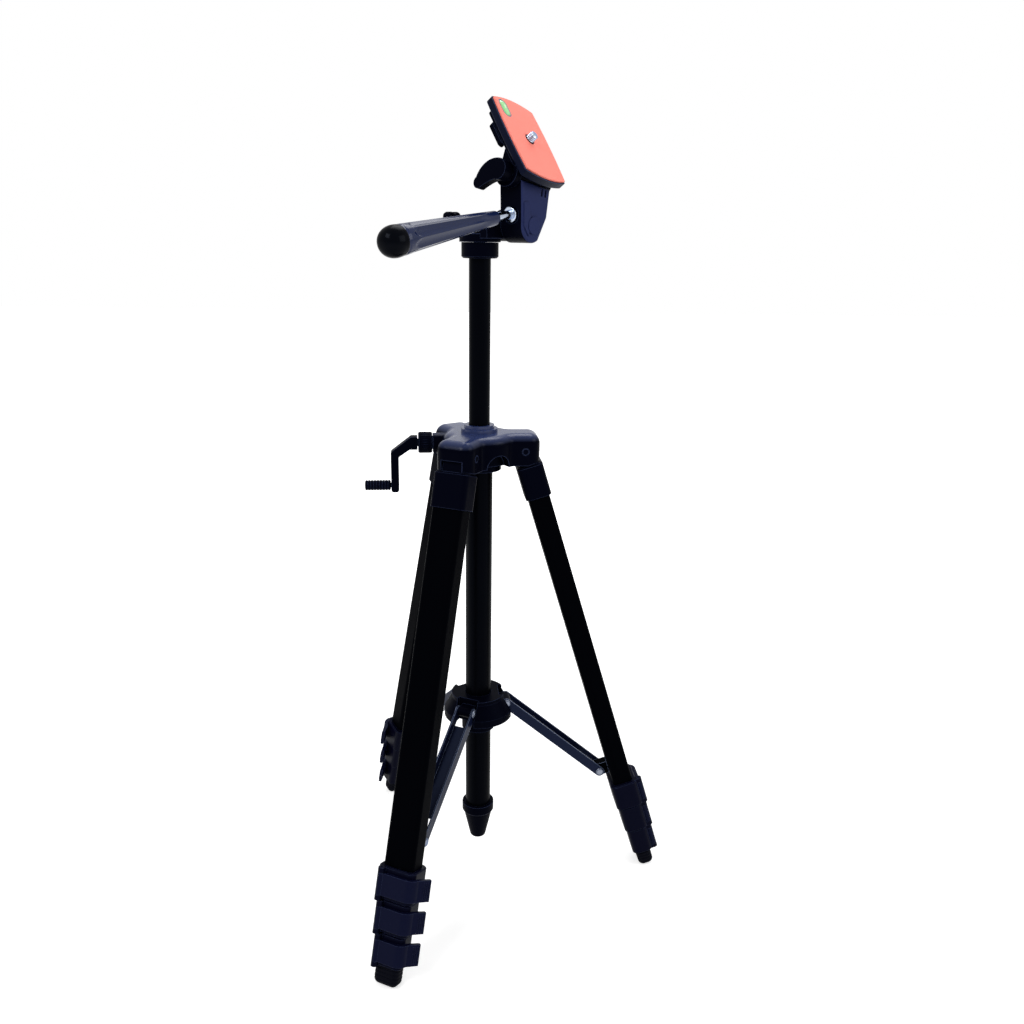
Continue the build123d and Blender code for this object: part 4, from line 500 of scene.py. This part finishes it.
# ---------------------------------------------------------------- pan lock knob
# A moulded knob of six lobes on a plain stem, its front face gently domed.
# Its radius swells and dips six times round, and the dips fade towards the rounded front.
LOBES, LOBE_DEPTH = 6, 1.7
STEM = ((-17, 3, 0), (-0.02, 3, 0))  # each row: distance out, radius, and its share of the dips
BACK = ((0, 7.4, 0.9), (0.6, 8.4, 1), (2, 8.9, 1))
FRONT = ((6.6, 8.9, 1), (7.8, 8.4, 1), (8.6, 7.2, 0.8), (8.9, 5.2, 0.3), (9.0, 2.4, 0), (9.0, 0.2, 0))
knob_place, knob_out = pivot("pan_knob_turn")
angles = np.linspace(0, 2 * np.pi, 144, endpoint=False)
dips = (0.5 - 0.5 * np.cos(angles * LOBES)) ** 1.6
profile = np.array(STEM + BACK + FRONT)
radius = profile[:, 1:2] - LOBE_DEPTH * profile[:, 2:] * dips[None, :]
rows = turned(knob_place, knob_out, profile[:, 0] * MM, radius * MM, len(angles))
knob = surface("pan_knob_lobed", [rows], moulded_black, "pan_knob", crease=50)
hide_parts("pan_lock_knob")

# ---------------------------------------------------------------- tilting body and handle
# The tilting body is a satin moulding, black, with a painted highlight in slate on its end face. The
# handle is a glossier slate grip with long hollowed panels, moulded on a chromed rod, and its closed end
# is parted from the grip by a groove and painted black with little coat: a painted dark reflection.
# Painted highlight: the slate given to the tilting body's end face.
END_FACE_HIGHLIGHT = (0.017, 0.024, 0.085)
HIGHLIGHT_FADE_DEPTH, HIGHLIGHT_FULL_DEPTH = 2.4 * MM, 2.2 * MM  # depths between which the body's black gives way to slate
slate = moulded("tilt_body_slate", roughness=0.4, specular=0.012, radius=0.0009)
across = pivot("tilt")[1]
end_face = max(float(np.dot(vertex.co, across)) for vertex in frame["nodes"]["tilt_body"].data.vertices)
painted_light_tone(slate, across, end_face - HIGHLIGHT_FADE_DEPTH, end_face - HIGHLIGHT_FULL_DEPTH, END_FACE_HIGHLIGHT, coat=0.12)
dress(slate, "tilt_body")

GRIP_START, GRIP_END, GRIP_DOME = 17.0, 124.0, 11.0
DOME_START = GRIP_END - GRIP_DOME
GRIP_SLIM, GRIP_THICK = 4.9, 10.2
PANELS, PANEL_DEPTH = 8, 0.14  # depth as a share of the radius
PANEL_START, PANEL_END, PANEL_END_BOW = 24, 104, 5  # a panel's end bows back this far at its ridges
PANEL_FADE_IN, PANEL_FADE_OUT = 14, 4
CAP_GROOVE, CAP_GROOVE_DEPTH, CAP_GROOVE_WIDTH, DARK_END_BLEND = 108.6, 0.55, 0.7, 0.4
NECK_DEPTH, NECK_LENGTH = 0.7, 1.5
GRIP_SLATE = (0.006, 0.013, 0.055)
# Painted dark reflection: the black given to the grip's closed end.
GRIP_END_DARK_REFLECTION = (0.0006, 0.0008, 0.002)
CHROME_GREY = (0.42, 0.47, 0.56)
gloss_look = {"roughness": 0.2, "depth": FINE_GRAIN_DEPTH, "specular": 0.02, "coat": 0.45, "edge": None}
grip_gloss = moulded("grip_gloss", GRIP_SLATE, **gloss_look)
chrome = new_finish("chrome", CHROME_GREY, 0.13, metallic=1.0)[0]
dress(chrome, "handle_rod")

handle_place, handle_out = pivot("handle_twist")
# Painted dark reflection: past the groove the grip turns black and loses most of its coat.
dark_end_start = float(np.dot(handle_place, handle_out)) + CAP_GROOVE * MM
painted_light_tone(grip_gloss, handle_out, dark_end_start, dark_end_start + DARK_END_BLEND * MM, GRIP_END_DARK_REFLECTION, coat=0.03)

# The grip: an even taper, less a parabola across each panel that fades in and out along it, less a
# bell-shaped groove at the cap and a short neck at the rod, and closed by a blunt dome.
angles = np.linspace(0, 2 * np.pi, 192, endpoint=False)
side = np.linspace(GRIP_START, DOME_START, 110)
taper = GRIP_SLIM + (GRIP_THICK - GRIP_SLIM) * (side - GRIP_START) / (DOME_START - GRIP_START)
within = np.abs(((angles / (2 * np.pi) * PANELS) % 1) * 2 - 1)  # 0 in the middle of a panel, 1 on its ridge
panel_end = PANEL_END - PANEL_END_BOW * within**2
fade_in = np.clip((side[:, None] - PANEL_START) / PANEL_FADE_IN, 0, 1)
fade = fade_in * np.clip((panel_end[None, :] - side[:, None]) / PANEL_FADE_OUT, 0, 1)
hollow = PANEL_DEPTH * (1 - within**2)[None, :] * fade * fade * (3 - 2 * fade)
groove = CAP_GROOVE_DEPTH * np.exp(-(((side - CAP_GROOVE) / CAP_GROOVE_WIDTH) ** 2))
neck = NECK_DEPTH * np.clip(1 - (side - GRIP_START) / NECK_LENGTH, 0, 1) ** 2
radius = taper[:, None] * (1 - hollow) - groove[:, None] - neck[:, None]
rise = np.linspace(0, np.pi / 2 * 0.985, 26)[1:]
dome_rows = GRIP_THICK * np.cos(rise)[:, None] ** 0.8 + np.zeros(len(angles))[None, :]
distance = np.concatenate([side, DOME_START + GRIP_DOME * np.sin(rise)])
rows = turned(handle_place, handle_out, distance * MM, np.concatenate([radius, dome_rows]) * MM, len(angles))
grip = surface("handle_grip_panelled", [rows], grip_gloss, "handle", crease=60)
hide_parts("handle_grip")

# ---------------------------------------------------------------- plate, pad, screw and level
# The plate carries an orange rubber pad, a chromed quarter-inch camera screw and a bubble level.
# The screw is turned with a thread of 1.27 mm pitch, its radius a flat-topped wave along the helix.
PAD_ORANGE = (1.0, 0.26, 0.2)
PLATE_BLACK = (0.002, 0.003, 0.012)
# Painted highlight: the light colour mixed into the plate's edges.
PLATE_EDGE_HIGHLIGHT = (0.07, 0.095, 0.19)
pad_look = {"roughness": 0.6, "depth": 0.00012, "grain": 0.0007, "specular": 0.2, "edge": None}
pad_rubber = moulded("pad_rubber", PAD_ORANGE, **pad_look)
dress(pad_rubber, "plate_pad")
plate_nylon = moulded("plate_nylon", PLATE_BLACK, specular=0.06, edge=PLATE_EDGE_HIGHLIGHT, radius=0.001)
dress(plate_nylon, "camera_plate")

PITCH, THREAD_RADIUS, THREAD_DEPTH = 1.27, 3.175, 0.62
THREAD_START, THREAD_END, THREAD_LEAD = 9.4, 14.0, 0.4
screw_place, screw_up = pivot("screw_spin")
angles = np.linspace(0, 2 * np.pi, 64, endpoint=False)
thread_run = np.arange(THREAD_START, THREAD_END, 0.04)
phase = (thread_run[:, None] / PITCH - angles[None, :] / (2 * np.pi)) % 1
crest = np.clip(1.25 - np.abs(phase * 2 - 1) * 1.5, 0, 1)
lead_in = np.clip((thread_run[:, None] - THREAD_START) / THREAD_LEAD, 0, 1)
thread = THREAD_RADIUS - THREAD_DEPTH * (1 - crest) * lead_in
foot_run = np.array([2.5, 2.7, 4.3, 4.5, 4.52, 9.39])
foot_radius = np.array([6.7, 7.0, 7.0, 6.8, 2.4, 2.4])
tip_run = np.array([14.05, 14.3, 14.55, 14.6])
tip_radius = np.array([2.55, 2.45, 2.2, 1.6])
around = len(angles)
radius = np.concatenate([np.tile(foot_radius[:, None], around), thread, np.tile(tip_radius[:, None], around)])
distance = np.concatenate([foot_run, thread_run, tip_run])
rows = turned(screw_place, screw_up, distance * MM, radius * MM, around)
screw = surface("camera_screw_threaded", [rows], chrome, "screw", crease=30)
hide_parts("camera_screw")

# The level: a green capsule with its bubble, standing a little proud of a slate surround on the pad.
SURROUND_SLATE = (0.11, 0.15, 0.24)
VIAL_GREEN = (0.22, 0.62, 0.2)
VIAL_DEEP, VIAL_PALE = (0.1, 0.55, 0.16), (0.5, 0.85, 0.4)
BUBBLE_GREEN = (0.75, 0.95, 0.66)
SURROUND_OUTSIDE = ((7.8, 4.5, 1.75), (7.8, 4.5, 2.1), (7.65, 4.35, 2.25))  # half length, half width, height
SURROUND_INSIDE = ((7.0, 3.7, 2.25), (6.9, 3.6, 2.1), (6.9, 3.6, 1.75))
VIAL_SIDE = ((5.9, 2.2, -2.0), (5.9, 2.2, 1.0), (6.7, 3.4, 1.8))
VIAL_HALF_LENGTH, VIAL_HALF_WIDTH, VIAL_RIM, VIAL_CROWNING = 6.7, 3.4, 2.1, 0.8
BUBBLE_HALF_LENGTH, BUBBLE_RADIUS, BUBBLE_DRIFT, BUBBLE_HEIGHT = 2.3, 0.8, 0.5, 2.35
across_level = -pivot("wing_knob_turn")[1]
along_level = np.cross(screw_up, across_level)
level_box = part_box("bubble_level")
level_middle = (np.array(level_box[0]) + np.array(level_box[1])) / 2


def capsule_ring(half_length, half_width, height):
    """Stadium outline round the level at one height over its middle: a circle of the half width,
    its two halves moved apart along the level until it has the half length."""
    angles = np.linspace(0, 2 * np.pi, 72, endpoint=False)
    flat = np.stack([np.cos(angles), np.sin(angles)], -1) * half_width
    flat[:, 1] += np.sign(flat[:, 1]) * (half_length - half_width)
    offset = flat[:, :1] * across_level + flat[:, 1:] * along_level + height * screw_up
    return level_middle + offset * MM


surround_finish = moulded("surround_slate", SURROUND_SLATE, roughness=0.35, specular=0.2, edge=None)
ring_rows = np.array([capsule_ring(*step) for step in SURROUND_OUTSIDE + SURROUND_INSIDE])
surface("vial_surround", [ring_rows], surround_finish, "plate", looped=True)

# The vial's top: the outline shrinks by a cosine while it rises by a sine, to a rounded ridge.
shell_rows = [capsule_ring(*step) for step in VIAL_SIDE]
for bend in np.linspace(0, np.pi / 2 * 0.97, 10):
    half_width = VIAL_HALF_WIDTH * np.cos(bend)
    half_length = VIAL_HALF_WIDTH + (VIAL_HALF_LENGTH - VIAL_HALF_WIDTH) * np.cos(bend)
    shell_rows.append(capsule_ring(half_length, half_width, VIAL_RIM + VIAL_CROWNING * np.sin(bend)))
vial_green, tree, shader, place, _ = new_finish("vial_green", VIAL_GREEN, 0.08, specular=0.4)
swirl = add_node(tree, "ShaderNodeTexNoise", {"Vector": place, "Scale": 260.0, "Detail": 1.0})
greens = {"Factor": swirl.outputs["Fac"], "A": (*VIAL_DEEP, 1), "B": (*VIAL_PALE, 1)}
tint = add_node(tree, "ShaderNodeMix", greens, data_type="RGBA")
tree.links.new(tint.outputs["Result"], shader.inputs["Base Color"])
vial = surface("vial_capsule", [np.array(shell_rows)], vial_green, "plate", crease=60)
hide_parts("bubble_level")

# The bubble: an ellipsoid along the vial, standing a quarter of a millimetre out of its top.
bubble_finish = new_finish("vial_bubble", BUBBLE_GREEN, 0.08, specular=0.5)[0]
bubble_spot = level_middle + (BUBBLE_DRIFT * along_level + BUBBLE_HEIGHT * screw_up) * MM
run = np.linspace(-1, 1, 17) * 0.99
radius = BUBBLE_RADIUS * np.sqrt(1 - run**2)
bubble_rows = turned(bubble_spot, along_level, run * BUBBLE_HALF_LENGTH * MM, radius * MM, 24)
surface("vial_bubble", [bubble_rows], bubble_finish, "plate")

# ---------------------------------------------------------------- studio
# A plain white floor and background, a large soft lamp on each side and one high behind, and the
# camera. It stands as high as the head, a little over seven tenths of a metre from the column.
FOCAL = 33.15
CAMERA_PLACE = AXIS + (0.0, -0.7095, 0.5372)
CAMERA_TARGET = AXIS + (0.0259, 0.0, 0.3267)
CAMERA_ROLL = 0.01408
FLOOR_REACH = 6.0
LAMP_TARGET = (0, 0, 0.35)

camera_data = bpy.data.cameras.new("camera")
camera_data.lens = FOCAL
camera = bpy.data.objects.new("camera", camera_data)
bpy.context.scene.collection.objects.link(camera)
camera.location = CAMERA_PLACE
camera.rotation_mode = "QUATERNION"
aim = Vector(CAMERA_TARGET - CAMERA_PLACE).to_track_quat("-Z", "Y")
camera.rotation_quaternion = aim @ Quaternion((0, 0, 1), CAMERA_ROLL)
bpy.context.scene.camera = camera


def background_seen(tree):
    """1 where a ray comes from the camera, a mirror or glass, so that they all see the white background."""
    path = add_node(tree, "ShaderNodeLightPath")
    seen, mirrored = path.outputs["Is Camera Ray"], path.outputs["Is Glossy Ray"]
    through = path.outputs["Is Transmission Ray"]
    first = add_node(tree, "ShaderNodeMath", {0: seen, 1: mirrored}, operation="MAXIMUM")
    both = add_node(tree, "ShaderNodeMath", {0: first.outputs[0], 1: through}, operation="MAXIMUM")
    return both.outputs[0]


floor_mesh = bpy.data.meshes.new("floor")
corners = [(x * FLOOR_REACH, y * FLOOR_REACH, 0) for x, y in ((-1, -1), (1, -1), (1, 1), (-1, 1))]
floor_mesh.from_pydata(corners, [], [(0, 1, 2, 3)])
floor = bpy.data.objects.new("floor", floor_mesh)
bpy.context.scene.collection.objects.link(floor)
floor_finish = bpy.data.materials.new("floor_white")
floor_finish.use_nodes = True
tree = floor_finish.node_tree
shader = tree.nodes["Principled BSDF"]
shader.inputs["Base Color"].default_value = (0.8, 0.8, 0.8, 1)
shader.inputs["Roughness"].default_value = 0.9
shader.inputs["Specular IOR Level"].default_value = 0.0
shader.inputs["Emission Color"].default_value = (1, 1, 1, 1)
# The floor glows to the camera, dimmer round the feet so that their shadows show.
place = add_node(tree, "ShaderNodeTexCoord")
from_middle = add_node(tree, "ShaderNodeVectorMath", {0: place.outputs["Object"]}, operation="LENGTH")
glow = spread(tree, from_middle.outputs["Value"], 0.15, 0.9, low=0.55)
seen_glow = add_node(tree, "ShaderNodeMath", {0: glow, 1: background_seen(tree)}, operation="MULTIPLY")
tree.links.new(seen_glow.outputs[0], shader.inputs["Emission Strength"])
floor_mesh.materials.append(floor_finish)

# The background is white where it is seen, and a dimmer light on everything else.
world = bpy.data.worlds.new("studio")
bpy.context.scene.world = world
world.use_nodes = True
tree = world.node_tree
backdrop = tree.nodes["Background"]
backdrop.inputs["Color"].default_value = (1, 1, 1, 1)
strength = spread(tree, background_seen(tree), 0.0, 1.0, low=0.4)
tree.links.new(strength, backdrop.inputs["Strength"])

for name, place, size, power in (
    ("key", (-0.9, -1.0, 1.5), 0.8, 15.0),
    ("fill", (1.3, -0.5, 1.0), 0.9, 8.0),
    ("top", (0.2, 0.7, 1.9), 1.0, 14.0),
):
    lamp_data = bpy.data.lights.new(name, "AREA")
    lamp_data.size = size
    lamp_data.energy = power
    lamp = bpy.data.objects.new(name, lamp_data)
    bpy.context.scene.collection.objects.link(lamp)
    lamp.location = place
    lamp.rotation_mode = "QUATERNION"
    lamp.rotation_quaternion = (Vector(LAMP_TARGET) - Vector(place)).to_track_quat("-Z", "Y")

bpy.context.scene.view_settings.view_transform = "Standard"
